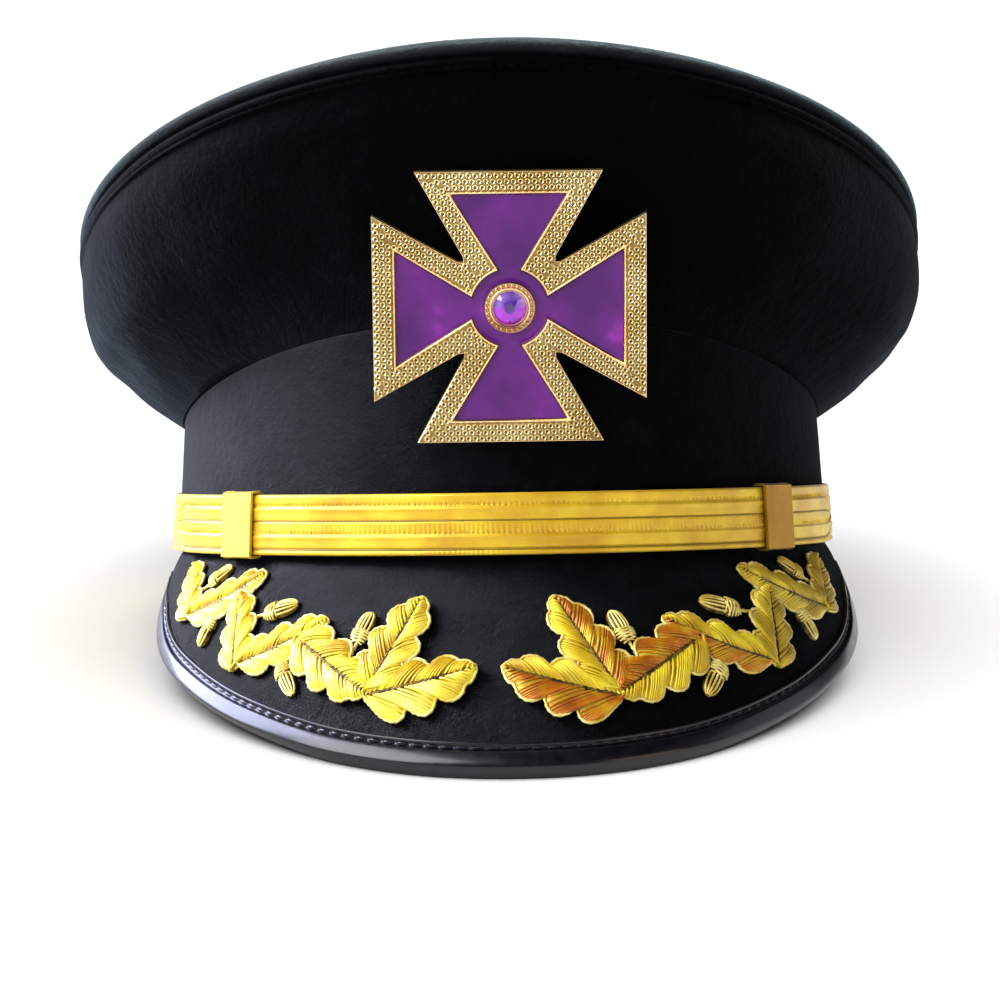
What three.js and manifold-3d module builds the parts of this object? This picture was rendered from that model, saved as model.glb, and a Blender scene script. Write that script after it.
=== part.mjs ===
// A peaked fatigue cap of black cloth, standing on a table as it rests by itself: on the front edge
// of its peak and on the back of its band, so the whole cap leans back a little.
// It has a tall band, a wide soft crown with a rounded rim, a steep cloth-covered peak with a bound
// edge and two raised sprays of oak leaves and acorns, a doubled gold lace strap with two keepers and
// two side buttons, and a cross badge with an enamelled field and one cut stone.
// Millimetres. In the cap's own frame the band's lower edge lies in z = 0, the wearer faces -Y and
// +Z is up. Angles run round the cap from the front centre, positive towards +X.
import * as THREE from 'three';
import { ConvexGeometry } from 'three/addons/geometries/ConvexGeometry.js';
import { mergeVertices } from 'three/addons/utils/BufferGeometryUtils.js';
import Module from 'manifold-3d';

const { abs, sin, cos, sqrt, hypot, atan2, asin, min, max, sign, PI } = Math;
const radians = THREE.MathUtils.degToRad;
const { lerp, smoothstep, clamp } = THREE.MathUtils;

const wasm = await Module();
wasm.setup();

// The clearance that neighbouring pieces keep.
const GAP = 0.3;

// The band: an oval wall for a 58 cm head, taller in front, drawn in a little towards its top.
const BAND = { halfWidth: 87.5, halfLength: 103, wall: 3, frontHeight: 56, backHeight: 33 };
const BAND_STEP = { from: 15, to: 105 };
const BAND_TAPER = 3.5;
const BAND_FRONT_LEAN = 4;

// The crown's rim is a saddle: heights above the band's lower edge, as a mean, a slope up to the
// front and a saddle term; the top panel rises a little more towards its middle.
const RIM = { halfWidth: 113, frontLength: 125, backLength: 123, fullness: 0.018 };
const RIM_HEIGHT = { mean: 90.5, slope: 27, saddle: 6.5, dome: 3 };
const CLOTH = 2;
const SHOULDER = 7;
const ROOT_STEP = 0.5;

// How far the side wall has gone out, as a share of the overhang, at each share of its height.
const CROWN_WALL = [
  { rise: 0.04, front: 0.02, side: 0.08 },
  { rise: 0.12, front: 0.10, side: 0.42 },
  { rise: 0.25, front: 0.25, side: 0.66 },
  { rise: 0.41, front: 0.45, side: 0.82 },
  { rise: 0.60, front: 0.69, side: 0.95 },
  { rise: 0.80, front: 0.91, side: 1.00 },
  { rise: 1.00, front: 1.00, side: 1.00 },
];

// The rounded edge of the top panel, from its top down to the seam: the share of the rim's radius
// and how far it has dropped below the rim's height.
const TOP_OUTSIDE = [
  { radius: 0.00, drop: 0.0 },
  { radius: 0.40, drop: 0.0 },
  { radius: 0.74, drop: 0.0 },
  { radius: 0.94, drop: 0.2 },
  { radius: 0.98, drop: 1.0 },
  { radius: 1.00, drop: 2.8 },
  { radius: 1.008, drop: 4.8 },
];

// The peak: for each station round the band, where its outer edge lies in the cap's frame.
const PEAK_EDGE = [
  { angle: 0, side: 0, ahead: 137, drop: 47.5 },
  { angle: 15, side: 24, ahead: 133, drop: 46.8 },
  { angle: 30, side: 47, ahead: 120.5, drop: 44 },
  { angle: 45, side: 68, ahead: 99, drop: 38 },
  { angle: 58, side: 81.5, ahead: 75, drop: 31 },
  { angle: 68, side: 88, ahead: 54, drop: 24.5 },
  { angle: 75, side: 90, ahead: 38, drop: 16.5 },
  { angle: 79, side: 88.5, ahead: 26, drop: 8 },
];
const PEAK = { board: 2.4, arch: 1.6, ends: 79 };

// The embroidery on the peak: each leaf and acorn by where its stalk and its tip lie, as an angle
// round the band and a share of the way down the peak, with its half widths above and below.
const SPRAY = [
  { outline: 'leaf', angle: 19.0, share: 0.69, tipAngle: 10.2, tipShare: 0.218, above: 7.2, below: 6.4 },
  { outline: 'leaf', angle: 19.6, share: 0.72, tipAngle: 2.3, tipShare: 0.557, above: 6.6, below: 8.6 },
  { outline: 'leaf', angle: 32.2, share: 0.47, tipAngle: 19.0, tipShare: 0.71, above: 7.4, below: 7.4 },
  { outline: 'leaf', angle: 44.0, share: 0.69, tipAngle: 26.6, tipShare: 0.355, above: 6.2, below: 5.4 },
  { outline: 'leaf', angle: 44.9, share: 0.74, tipAngle: 46.2, tipShare: 0.250, above: 6.6, below: 5.6 },
  { outline: 'leaf', angle: 60.6, share: 0.52, tipAngle: 41.6, tipShare: 0.116, above: 5.8, below: 5.2 },
  { outline: 'leaf', angle: 60.4, share: 0.54, tipAngle: 64.0, tipShare: 0.090, above: 5.0, below: 6.0 },
  { outline: 'acorn', angle: 22.4, share: 0.54, tipAngle: 18.8, tipShare: 0.297, above: 2.5, below: 2.5 },
  { outline: 'acorn', angle: 43.2, share: 0.40, tipAngle: 33.2, tipShare: 0.276, above: 2.5, below: 2.5 },
  { outline: 'acorn', angle: 36.6, share: 0.56, tipAngle: 32.4, tipShare: 0.769, above: 2.5, below: 2.5 },
  { outline: 'acorn', angle: 51.2, share: 0.33, tipAngle: 55.2, tipShare: 0.688, above: 2.2, below: 2.2 },
  { outline: 'acorn', angle: 59.0, share: 0.30, tipAngle: 51.6, tipShare: 0.080, above: 2.0, below: 2.0 },
];
const OUTLINES = {
  leaf: [
    { along: 0.00, out: 0.08 },
    { along: 0.10, out: 0.55 },
    { along: 0.24, out: 0.95 },
    { along: 0.36, out: 0.72 },
    { along: 0.50, out: 1.00 },
    { along: 0.63, out: 0.66 },
    { along: 0.76, out: 0.74 },
    { along: 0.90, out: 0.46 },
    { along: 1.00, out: 0.06 },
  ],
  acorn: [
    { along: 0.00, out: 0.18 },
    { along: 0.36, out: 0.18 },
    { along: 0.39, out: 0.85 },
    { along: 0.52, out: 1.00 },
    { along: 0.60, out: 0.80 },
    { along: 0.86, out: 0.55 },
    { along: 1.00, out: 0.10 },
  ],
};
const THREAD = { under: GAP, edge: 1.1, ridge: 1.7 };

// The patent binding folded round the peak's edge.
const BINDING = { lip: 6, leather: 0.8, nose: 1.6 };

// The strap's layers, as distances out from the band's face.
const LAYER = { keeperBack: 0.3, under: 1.1, over: 2.3, keeperFront: 3.5 };
const LACE = { width: 15, thick: 0.9, foot: 0.6 };
const KEEPER = { angle: 48.5, spread: 3.6, back: 0.5, front: 0.8, overlap: 0.9 };
const OVER_STRAP_END = 72;
const BUTTON = { angle: 112, radius: 7.5, height: 4.2, shank: 1.6, hole: 2.1 };

// The badge: a cross with splayed arms, a sunk field, a rim line, a cup for the stone and a post.
const BADGE = { reach: 32.5, flare: 22.3, notch: 10.8, notchRound: 1.3, plate: 2.4, pocket: 1.1 };
const FIELD = { reach: 27, flare: 13.6, neck: 2.4, disc: 9.2 };
const RIM_LINE = { width: 0.8, height: 0.3 };
const CUP = { outer: 6.1, inner: 4.4, top: 3.3 };
const STONE = { girdle: 4.0, table: 2.1, back: 1.5, girdleHeight: 2.7, tableHeight: 4.1 };
const BADGE_PLACE = { height: 60, lean: 12.2, ahead: 112.6 };
const POST = { radius: 1.5, length: 9, hole: 2.0 };

// Finishes.
const FINISH = {
  cloth: { color: 0x0d0d10, roughness: 0.95, metalness: 0 },
  patent: { color: 0x0b0b0e, roughness: 0.2, metalness: 0 },
  lace: { color: 0xd9a520, roughness: 0.45, metalness: 0.35 },
  bullion: { color: 0xe6c22f, roughness: 0.4, metalness: 0.4 },
  gilt: { color: 0xc9a24a, roughness: 0.3, metalness: 0.9 },
  enamel: { color: 0x5a1e86, roughness: 0.15, metalness: 0.1 },
  stone: { color: 0x8a2be2, roughness: 0.05, metalness: 0 },
};

// Solids and meshes.

function toSolid(geometry) {
  const bare = new THREE.BufferGeometry();
  const whole = geometry.index ? geometry.toNonIndexed() : geometry;
  bare.setAttribute('position', whole.getAttribute('position'));
  const merged = mergeVertices(bare, 1e-4);
  return new wasm.Manifold(new wasm.Mesh({
    numProp: 3,
    vertProperties: merged.attributes.position.array,
    triVerts: new Uint32Array(merged.index.array),
  }));
}

function toGeometry(solid) {
  const mesh = solid.getMesh();
  const geometry = new THREE.BufferGeometry();
  geometry.setAttribute('position', new THREE.BufferAttribute(mesh.vertProperties, 3));
  geometry.setIndex(new THREE.BufferAttribute(mesh.triVerts, 1));
  return geometry;
}

function piece(name, geometry, finish) {
  const mesh = new THREE.Mesh(geometry, new THREE.MeshStandardMaterial(FINISH[finish]));
  mesh.name = name;
  return mesh;
}

// A solid through sections that all have the same number of corners: closed on itself as a ring,
// or open with a cap at each end.
function loft(sections, ring) {
  const corners = sections[0].length;
  const positions = sections.flat().flatMap((p) => [p.x, p.y, p.z]);
  const faces = [];
  const corner = (section, k) => (section % sections.length) * corners + (k % corners);
  const joins = ring ? sections.length : sections.length - 1;
  for (let i = 0; i < joins; i++) {
    for (let k = 0; k < corners; k++) {
      const [a, b] = [corner(i, k), corner(i, k + 1)];
      const [c, d] = [corner(i + 1, k + 1), corner(i + 1, k)];
      faces.push(a, c, b, a, d, c);
    }
  }
  if (!ring) {
    const last = sections.length - 1;
    capTriangles(sections[0]).forEach(([a, b, c]) => faces.push(corner(0, a), corner(0, b), corner(0, c)));
    capTriangles(sections[last]).forEach(([a, b, c]) =>
      faces.push(corner(last, a), corner(last, c), corner(last, b)));
  }
  const geometry = new THREE.BufferGeometry();
  geometry.setAttribute('position', new THREE.Float32BufferAttribute(positions, 3));
  geometry.setIndex(faces);
  return geometry;
}

// An end cap: the section is laid on its own plane and cut into triangles that keep its corners.
function capTriangles(section) {
  const centre = section.reduce((sum, p) => sum.add(p), new THREE.Vector3()).divideScalar(section.length);
  const normal = new THREE.Vector3();
  section.forEach((p, k) => {
    const next = section[(k + 1) % section.length];
    normal.add(p.clone().sub(centre).cross(next.clone().sub(centre)));
  });
  normal.normalize();
  const across = section[1].clone().sub(section[0]).normalize();
  const up = normal.clone().cross(across);
  const flat = section.map((p) => new THREE.Vector2(p.clone().sub(centre).dot(across), p.clone().sub(centre).dot(up)));
  return THREE.ShapeUtils.triangulateShape(flat, []);
}

// Angles in degrees, evenly spaced, ends included.
function steps(from, to, count) {
  return Array.from({ length: count + 1 }, (_, i) => from + ((to - from) * i) / count);
}

// The band's face.

function bandTop(angle) {
  const step = smoothstep(abs(angle), BAND_STEP.from, BAND_STEP.to);
  return lerp(BAND.frontHeight, BAND.backHeight, step);
}

// A point on the band's face at a height, moved out by an offset.
function bandPoint(angle, height, offset) {
  const turn = radians(angle);
  const taper = (BAND_TAPER * height) / BAND.frontHeight;
  const lean = (BAND_FRONT_LEAN * height) / BAND.frontHeight * max(0, cos(turn)) ** 2;
  const x = (BAND.halfWidth - taper + offset) * sin(turn);
  const y = -(BAND.halfLength + offset) * cos(turn) - lean;
  return new THREE.Vector3(x, y, height);
}

// The tilt at which the cap rests: the band's back sinks by SOFT.back and the binding's nose by
// SOFT.front into the table, and both are flattened there.
const SOFT = { back: 1.5, front: 0.5 };

function restingTilt() {
  const tip = PEAK_EDGE[0];
  const noseRadius = PEAK.board / 2 + GAP + BINDING.leather;
  const down = atan2(tip.drop, tip.ahead - BAND.halfLength);
  const centre = { ahead: tip.ahead - (PEAK.board / 2) * sin(down), drop: tip.drop + (PEAK.board / 2) * cos(down) };
  const reach = BAND.halfLength + centre.ahead;
  const lift = noseRadius + SOFT.back - SOFT.front;
  return asin(lift / hypot(reach, centre.drop)) + atan2(centre.drop, reach);
}

const TILT = restingTilt();
const LIFT = BAND.halfLength * sin(TILT) - SOFT.back;

// Presses what would be under the table up to its surface.
function flattenAtTable(geometry) {
  const position = geometry.getAttribute('position');
  for (let i = 0; i < position.count; i++) {
    const [y, z] = [position.getY(i), position.getZ(i)];
    const below = -(z * cos(TILT) - y * sin(TILT) + LIFT);
    if (below > 0) {
      position.setY(i, y - below * sin(TILT));
      position.setZ(i, z + below * cos(TILT));
    }
  }
  return geometry;
}

const RING_ANGLES = steps(-180, 180, 60).slice(0, -1);

function makeBand() {
  const sections = RING_ANGLES.map((angle) => {
    const top = bandTop(angle);
    return [
      bandPoint(angle, 0, -BAND.wall),
      bandPoint(angle, 0, 0),
      bandPoint(angle, top / 2, 0),
      bandPoint(angle, top, 0),
      bandPoint(angle, top, -BAND.wall),
      bandPoint(angle, top / 2, -BAND.wall),
    ];
  });
  return piece('band', flattenAtTable(loft(sections, true)), 'cloth');
}

// The crown.

// The top surface, stretched over the rim like a film: its height at a share of the rim's radius.
function topHeight(share, angle) {
  const turn = radians(angle);
  const saddle = RIM_HEIGHT.saddle * share ** 2 * cos(2 * turn);
  const slope = share * RIM_HEIGHT.slope * cos(turn);
  return RIM_HEIGHT.mean + slope + saddle + RIM_HEIGHT.dome * (1 - share ** 2);
}

function rimPoint(share, angle, height) {
  const turn = radians(angle);
  const length = lerp(RIM.backLength, RIM.frontLength, (1 + cos(turn)) / 2);
  const full = share * (1 + RIM.fullness * sin(2 * turn) ** 2);
  return new THREE.Vector3(full * RIM.halfWidth * sin(turn), -full * length * cos(turn), height);
}

// The outer face of the side wall at an angle, from its root on the band to the seam under the rim.
function wallLine(angle) {
  const root = bandPoint(angle, bandTop(angle) + GAP, -ROOT_STEP);
  const seam = rimPoint(1, angle, topHeight(1, angle) - SHOULDER);
  const frontness = smoothstep(cos(radians(angle)), 0.1, 0.95);
  const points = CROWN_WALL.map(({ rise, front, side }) => {
    const out = lerp(side, front, frontness);
    return new THREE.Vector3(lerp(root.x, seam.x, out), lerp(root.y, seam.y, out), lerp(root.z, seam.z, rise));
  });
  return [root, ...points];
}

// The same line moved in by the cloth's thickness, square to the wall.
function innerLine(line, angle, thickness) {
  const outward = line[line.length - 1].clone().sub(line[0]).setZ(0).normalize();
  return line.map((point, k) => {
    const before = line[max(k - 1, 0)];
    const after = line[min(k + 1, line.length - 1)];
    const level = k === 0 || k === line.length - 1;
    const along = level ? new THREE.Vector3(0, 0, 1) : after.clone().sub(before).normalize();
    const run = along.dot(outward);
    return point.clone()
      .addScaledVector(outward, -thickness * along.z)
      .add(new THREE.Vector3(0, 0, thickness * run));
  });
}

function makeCrownSide(postHole) {
  const sections = RING_ANGLES.map((angle) => {
    const outside = wallLine(angle);
    return [...outside, ...innerLine(outside, angle, CLOTH).reverse()];
  });
  const wall = toSolid(loft(sections, true)).subtract(postHole);
  return piece('crown_side', toGeometry(wall), 'cloth');
}

// The top panel: a round blank turned on its axis, then given the rim's plan and heights.
function makeCrownTop() {
  const edge = SHOULDER - GAP;
  const wall = CLOTH / RIM.halfWidth;
  const outside = [...TOP_OUTSIDE, { radius: 1.0, drop: edge }];
  const inside = [
    { radius: 1.0 - wall, drop: edge },
    ...TOP_OUTSIDE.slice(1, -1).reverse().map(({ radius, drop }) => ({
      radius: radius * (1 - wall * smoothstep(radius, 0.6, 1)),
      drop: min(drop + CLOTH * (1.05 - smoothstep(drop, 0, 7) * 0.8), edge - 0.4),
    })),
    { radius: 0, drop: CLOTH },
  ];
  const blank = [...outside, ...inside].reverse().map(({ radius, drop }) => new THREE.Vector2(radius, -drop));
  const geometry = new THREE.LatheGeometry(blank, RING_ANGLES.length);
  const position = geometry.getAttribute('position');
  for (let i = 0; i < position.count; i++) {
    const [x, drop, z] = [position.getX(i), -position.getY(i), position.getZ(i)];
    const share = hypot(x, z);
    const angle = THREE.MathUtils.radToDeg(atan2(x, z));
    const point = rimPoint(share, angle, topHeight(min(share / (1 - wall), 1), angle) - drop);
    position.setXYZ(i, point.x, point.y, point.z);
  }
  return piece('crown_top', geometry, 'cloth');
}

// The peak.

// A smooth reading of a column of the edge table at an angle, mirrored about the front.
function edgeColumn(name, angle) {
  const at = abs(angle);
  const last = PEAK_EDGE.length - 1;
  const k = clamp(PEAK_EDGE.findIndex((row) => row.angle > at) - 1, 0, last - 1);
  const start = at >= PEAK_EDGE[last].angle ? last - 1 : k;
  const row = (i) => {
    if (i < 0) return { ...PEAK_EDGE[-i], angle: -PEAK_EDGE[-i].angle, side: -PEAK_EDGE[-i].side };
    return PEAK_EDGE[min(i, last)];
  };
  const [r0, r1, r2, r3] = [row(start - 1), row(start), row(start + 1), row(start + 2)];
  const span = r2.angle - r1.angle;
  const t = clamp((at - r1.angle) / span, 0, 1);
  const slopeIn = ((r2[name] - r0[name]) / (r2.angle - r0.angle)) * span;
  const slopeOut = ((r3[name] - r1[name]) / max(r3.angle - r1.angle, 1e-6)) * span;
  const [t2, t3] = [t * t, t * t * t];
  return (2 * t3 - 3 * t2 + 1) * r1[name] + (t3 - 2 * t2 + t) * slopeIn
    + (3 * t2 - 2 * t3) * r2[name] + (t3 - t2) * slopeOut;
}

function edgePoint(angle) {
  return new THREE.Vector3(
    edgeColumn('side', angle) * (sign(angle) || 1),
    -edgeColumn('ahead', angle),
    -edgeColumn('drop', angle),
  );
}

// The upper face of the peak: share runs from 0 at the band to 1 at the edge.
function peakFrame(angle) {
  const root = bandPoint(angle, 0, -0.2).setZ(-GAP);
  const edge = edgePoint(angle);
  const along = edgePoint(angle + 1).sub(edgePoint(angle - 1))
    .add(bandPoint(angle + 1, 0, 0).sub(bandPoint(angle - 1, 0, 0)));
  const down = edge.clone().sub(root);
  const normal = down.clone().cross(along).normalize();
  return { root, edge, down, normal, along: along.normalize(), length: down.length() };
}

function peakPoint(angle, share, lift) {
  const { root, down, normal, length } = peakFrame(angle);
  const arch = PEAK.arch * min(1, length / 50) * 4 * share * (1 - share);
  return root.clone().addScaledVector(down, share).addScaledVector(normal, arch + lift);
}

const PEAK_ANGLES = [...steps(-79, -61, 9), ...steps(-57, 57, 24), ...steps(61, 79, 9)];
const PEAK_SHARES = [0, 0.28, 0.56, 1];

function makePeak() {
  const sections = PEAK_ANGLES.map((angle) => {
    const rootBelow = bandPoint(angle, 0, -BAND.wall + 0.2).setZ(-GAP);
    const bottom = PEAK_SHARES.slice(1).map((share) => peakPoint(angle, share, -PEAK.board));
    const top = PEAK_SHARES.map((share) => peakPoint(angle, share, 0)).reverse();
    return [rootBelow, ...bottom, ...top];
  });
  return piece('peak', loft(sections, false), 'cloth');
}

// One leaf or acorn, laid on the peak and mirrored for the other side.
function sprig({ outline, angle, share, tipAngle, tipShare, above, below }, side) {
  const [midAngle, midShare] = [(angle + tipAngle) / 2, (share + tipShare) / 2];
  const middle = peakPoint(midAngle, midShare, 0);
  const perAngle = peakPoint(midAngle + 1, midShare, 0).sub(middle);
  const perShare = peakPoint(midAngle, midShare + 0.02, 0).sub(middle).multiplyScalar(50);
  const stalk = peakPoint(angle, share, 0);
  const tip = peakPoint(tipAngle, tipShare, 0);
  const across = peakFrame(midAngle).normal.cross(tip.sub(stalk)).normalize();
  const [aa, ab, bb] = [perAngle.dot(perAngle), perAngle.dot(perShare), perShare.dot(perShare)];
  const [ca, cb] = [across.dot(perAngle), across.dot(perShare)];
  const solve = aa * bb - ab * ab;
  const [turn, slide] = [(ca * bb - cb * ab) / solve, (cb * aa - ca * ab) / solve];
  const upward = slide < 0 ? 1 : -1;
  const at = (along, out, lift) => {
    const place = peakPoint(
      lerp(angle, tipAngle, along) + out * turn * upward,
      lerp(share, tipShare, along) + out * slide * upward,
      lift,
    );
    return place.setX(place.x * side);
  };
  const sections = OUTLINES[outline].map(({ along, out }) => [
    at(along, -below * out, THREAD.under),
    at(along, above * out, THREAD.under),
    at(along, above * out, THREAD.edge),
    at(along, 0, THREAD.ridge),
    at(along, -below * out, THREAD.edge),
  ]);
  const flip = upward * side < 0;
  return toSolid(loft(flip ? sections : sections.map((section) => section.reverse()), false));
}

function makeSpray(name, side) {
  const sprigs = SPRAY.map((row) => sprig(row, side));
  return piece(name, toGeometry(wasm.Manifold.union(sprigs)), 'bullion');
}

// The binding's section, as distances past the peak's edge and above its upper face.
function bindingSection(lip) {
  const outer = GAP + BINDING.leather;
  const middle = -PEAK.board / 2;
  const half = PEAK.board / 2 + outer;
  const nose = [60, 20, -20, -60].map((turn) => ({
    past: GAP + (half + BINDING.nose - GAP) * cos(radians(turn)) * 0.62,
    above: middle + half * sin(radians(turn)) * 1.1,
  }));
  return [
    { past: -lip, above: outer * 0.8 },
    { past: -lip, above: GAP },
    { past: GAP + 0.15, above: GAP },
    { past: GAP + 0.15, above: -PEAK.board - GAP },
    { past: -lip, above: -PEAK.board - GAP },
    { past: -lip, above: -PEAK.board - outer },
    { past: 0, above: -PEAK.board - outer },
    ...nose.reverse(),
    { past: 0, above: outer },
  ];
}

function makeBinding() {
  const sections = PEAK_ANGLES.map((angle) => {
    const { edge, along, length } = peakFrame(angle);
    const away = edge.clone().sub(peakPoint(angle, PEAK_SHARES[2], 0)).normalize();
    const above = away.clone().cross(along).normalize();
    const tangent = edgePoint(angle + 0.5).sub(edgePoint(angle - 0.5)).normalize();
    const slant = 1 / away.clone().cross(tangent).length();
    const lip = min(BINDING.lip, (length * 0.4) / slant);
    return bindingSection(lip).map((at) =>
      edge.clone().addScaledVector(away, at.past * slant).addScaledVector(above, at.above));
  });
  return piece('peak_binding', flattenAtTable(loft(sections, false)), 'patent');
}

// The strap.

// A strip of lace along the band, its height at each angle given by a function of the angle.
function laceStrip(angles, offset, halfHeight) {
  const middle = LACE.foot + LACE.width / 2;
  const sections = angles.map((angle) => {
    const half = halfHeight(angle);
    const [low, high] = [middle - half, middle + half];
    return [
      bandPoint(angle, low, offset),
      bandPoint(angle, low, offset + LACE.thick),
      bandPoint(angle, high, offset + LACE.thick),
      bandPoint(angle, high, offset),
    ];
  });
  return loft(sections, false);
}

// Half the lace's width, rounded off over the last stretch before its end.
function roundedEnd(end, roundness) {
  return (angle) => {
    const past = max(0, abs(angle) - (end - roundness)) / roundness;
    return (LACE.width / 2) * sqrt(max(0.05, 1 - past * past));
  };
}

const END_SPREAD = 5;

function strapAngles(end) {
  const tail = [0, 0.2, 0.45, 0.75, 1].map((share) => end - END_SPREAD * share);
  const body = steps(-(end - END_SPREAD - 1), end - END_SPREAD - 1, 40);
  return [...tail.map((angle) => -angle), ...body, ...tail.reverse()];
}

// A frame on the band's face: x along the strap, y up, z out.
function faceFrame(angle, height, offset) {
  const along = bandPoint(angle + 1, height, 0).sub(bandPoint(angle - 1, height, 0)).normalize();
  const rise = bandPoint(angle, height + 1, 0).sub(bandPoint(angle, height - 1, 0));
  const out = along.clone().cross(rise).normalize();
  const up = out.clone().cross(along);
  return new THREE.Matrix4().makeBasis(along, up, out).setPosition(bandPoint(angle, height, offset));
}

function makeUnderStrap() {
  const end = BUTTON.angle + END_SPREAD;
  let strip = toSolid(laceStrip(strapAngles(end), LAYER.under, roundedEnd(end, END_SPREAD)));
  for (const angle of [-BUTTON.angle, BUTTON.angle]) {
    const cutter = new THREE.CylinderGeometry(BUTTON.hole, BUTTON.hole, 8, 12).rotateX(PI / 2);
    cutter.applyMatrix4(faceFrame(angle, LACE.foot + LACE.width / 2, LAYER.under));
    strip = strip.subtract(toSolid(cutter));
  }
  return piece('strap_under', toGeometry(strip), 'lace');
}

function makeOverStrap() {
  const strip = laceStrip(strapAngles(OVER_STRAP_END), LAYER.over, roundedEnd(OVER_STRAP_END, END_SPREAD));
  return piece('strap_over', strip, 'lace');
}

function keeperBlock(centre, spread, inner, outer, overlap) {
  const angles = steps(centre - spread, centre + spread, 3);
  const [low, high] = [LACE.foot - overlap, LACE.foot + LACE.width + overlap];
  return loft(angles.map((angle) => [
    bandPoint(angle, low, inner),
    bandPoint(angle, low, outer),
    bandPoint(angle, high, outer),
    bandPoint(angle, high, inner),
  ]), false);
}

function makeKeeper(name, centre) {
  const outside = keeperBlock(centre, KEEPER.spread, LAYER.keeperBack, LAYER.keeperFront + KEEPER.front,
    KEEPER.overlap);
  const inside = keeperBlock(centre, KEEPER.spread + 1, LAYER.keeperBack + KEEPER.back, LAYER.keeperFront, GAP);
  return piece(name, toGeometry(toSolid(outside).subtract(toSolid(inside))), 'lace');
}

function makeButton(name, angle) {
  const { radius, height, shank } = BUTTON;
  const depth = LAYER.under + LACE.thick;
  const profile = [
    [0, -depth + 0.1], [shank, -depth + 0.1], [shank, 0], [radius - 0.8, 0], [radius, 0.5],
    [radius - 0.2, 1.2], [radius * 0.8, height * 0.66], [radius * 0.45, height * 0.92], [0, height],
  ].map(([across, up]) => new THREE.Vector2(across, up));
  const geometry = new THREE.LatheGeometry(profile, 20).rotateX(PI / 2);
  const mesh = piece(name, geometry, 'gilt');
  mesh.applyMatrix4(faceFrame(angle, LACE.foot + LACE.width / 2, LAYER.under + LACE.thick + GAP));
  return mesh;
}

// The badge, in its own frame: x across, y up, z out of its face, its back in z = 0.

// Four copies of a run of points, each turned a quarter more.
function fourfold(points) {
  return [0, 1, 2, 3].flatMap((quarter) => points.map(([x, y]) => {
    const turn = (-quarter * PI) / 2;
    return new THREE.Vector2(x * cos(turn) - y * sin(turn), x * sin(turn) + y * cos(turn));
  }));
}

function crossShape() {
  const { reach, flare, notch, notchRound } = BADGE;
  const bend = notchRound * 1.1;
  return new THREE.Shape(fourfold([
    [-flare, reach],
    [flare, reach],
    [notch + 0.2, notch + bend],
    [notch + 0.1, notch + 0.1],
    [notch + bend, notch + 0.2],
  ]));
}

// The sunk field: a disc with four splayed arms, its outline moved out by grow.
function fieldShape(grow) {
  const { reach, flare, neck, disc } = FIELD;
  const round = disc + grow;
  const slant = (flare - neck) / (reach - disc);
  const neckHalf = neck + grow * hypot(1, slant) - slant * grow;
  const neckTurn = asin(neckHalf / round);
  const armReach = reach + grow;
  const armHalf = flare + grow * hypot(1, slant) + slant * grow;
  const arc = steps(0, 1, 5).map((share) => {
    const turn = lerp(neckTurn, PI / 2 - neckTurn, share);
    return [round * sin(turn), round * cos(turn)];
  });
  return new THREE.Shape(fourfold([[-armHalf, armReach], [armHalf, armReach], ...arc]));
}

function slab(shape, from, to) {
  return new THREE.ExtrudeGeometry(shape, { depth: to - from, bevelEnabled: false, curveSegments: 24 })
    .translate(0, 0, from);
}

function post(radius) {
  return new THREE.CylinderGeometry(radius, radius, POST.length, 12).rotateX(PI / 2)
    .translate(0, 0, 0.5 - POST.length / 2);
}

function makeBadgePlate() {
  const { plate, pocket } = BADGE;
  const rim = toSolid(slab(fieldShape(RIM_LINE.width), pocket, plate + RIM_LINE.height));
  const sink = toSolid(slab(fieldShape(0), pocket, plate + 1));
  const cup = new THREE.LatheGeometry([
    [CUP.inner, pocket - 0.2], [CUP.outer, pocket - 0.2], [CUP.outer, CUP.top - 0.5],
    [CUP.outer - 0.5, CUP.top], [CUP.inner + 0.3, CUP.top], [CUP.inner, CUP.top - 0.3],
    [CUP.inner, pocket - 0.2],
  ].map(([across, up]) => new THREE.Vector2(across, up)), 24).rotateX(PI / 2);
  const solid = toSolid(slab(crossShape(), 0, plate)).add(rim).subtract(sink)
    .add(toSolid(cup)).add(toSolid(post(POST.radius)));
  return piece('badge_plate', toGeometry(solid), 'gilt');
}

function makeBadgeEnamel() {
  const shape = fieldShape(-GAP);
  const hole = steps(0, 2 * PI, 24).slice(1).map((turn) =>
    new THREE.Vector2(cos(turn), sin(turn)).multiplyScalar(CUP.outer + GAP));
  shape.holes.push(new THREE.Path(hole));
  return piece('badge_enamel', slab(shape, BADGE.pocket + GAP, BADGE.plate - 0.2), 'enamel');
}

// A round cut stone: an eight-sided table, a ring of facets to the girdle and a pointed back.
function makeBadgeStone() {
  const ring = (count, radius, height, start) => steps(0, 1, count).slice(1).map((share) => {
    const turn = start + share * 2 * PI;
    return new THREE.Vector3(radius * cos(turn), radius * sin(turn), height);
  });
  const { girdle, table, back, girdleHeight, tableHeight } = STONE;
  const geometry = new ConvexGeometry([
    ...ring(8, table, tableHeight, PI / 8),
    ...ring(8, (girdle + table) * 0.53, lerp(girdleHeight, tableHeight, 0.62), 0),
    ...ring(16, girdle, girdleHeight, PI / 16),
    ...ring(16, girdle, girdleHeight - 0.25, PI / 16),
    ...ring(8, table, back, PI / 8),
  ]);
  return piece('badge_stone', geometry, 'stone');
}

function makeBadge() {
  const badge = new THREE.Group();
  badge.add(makeBadgePlate(), makeBadgeEnamel(), makeBadgeStone());
  badge.position.set(0, -BADGE_PLACE.ahead, BADGE_PLACE.height);
  badge.rotation.x = PI / 2 + radians(BADGE_PLACE.lean);
  badge.updateMatrix();
  return badge;
}

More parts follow.
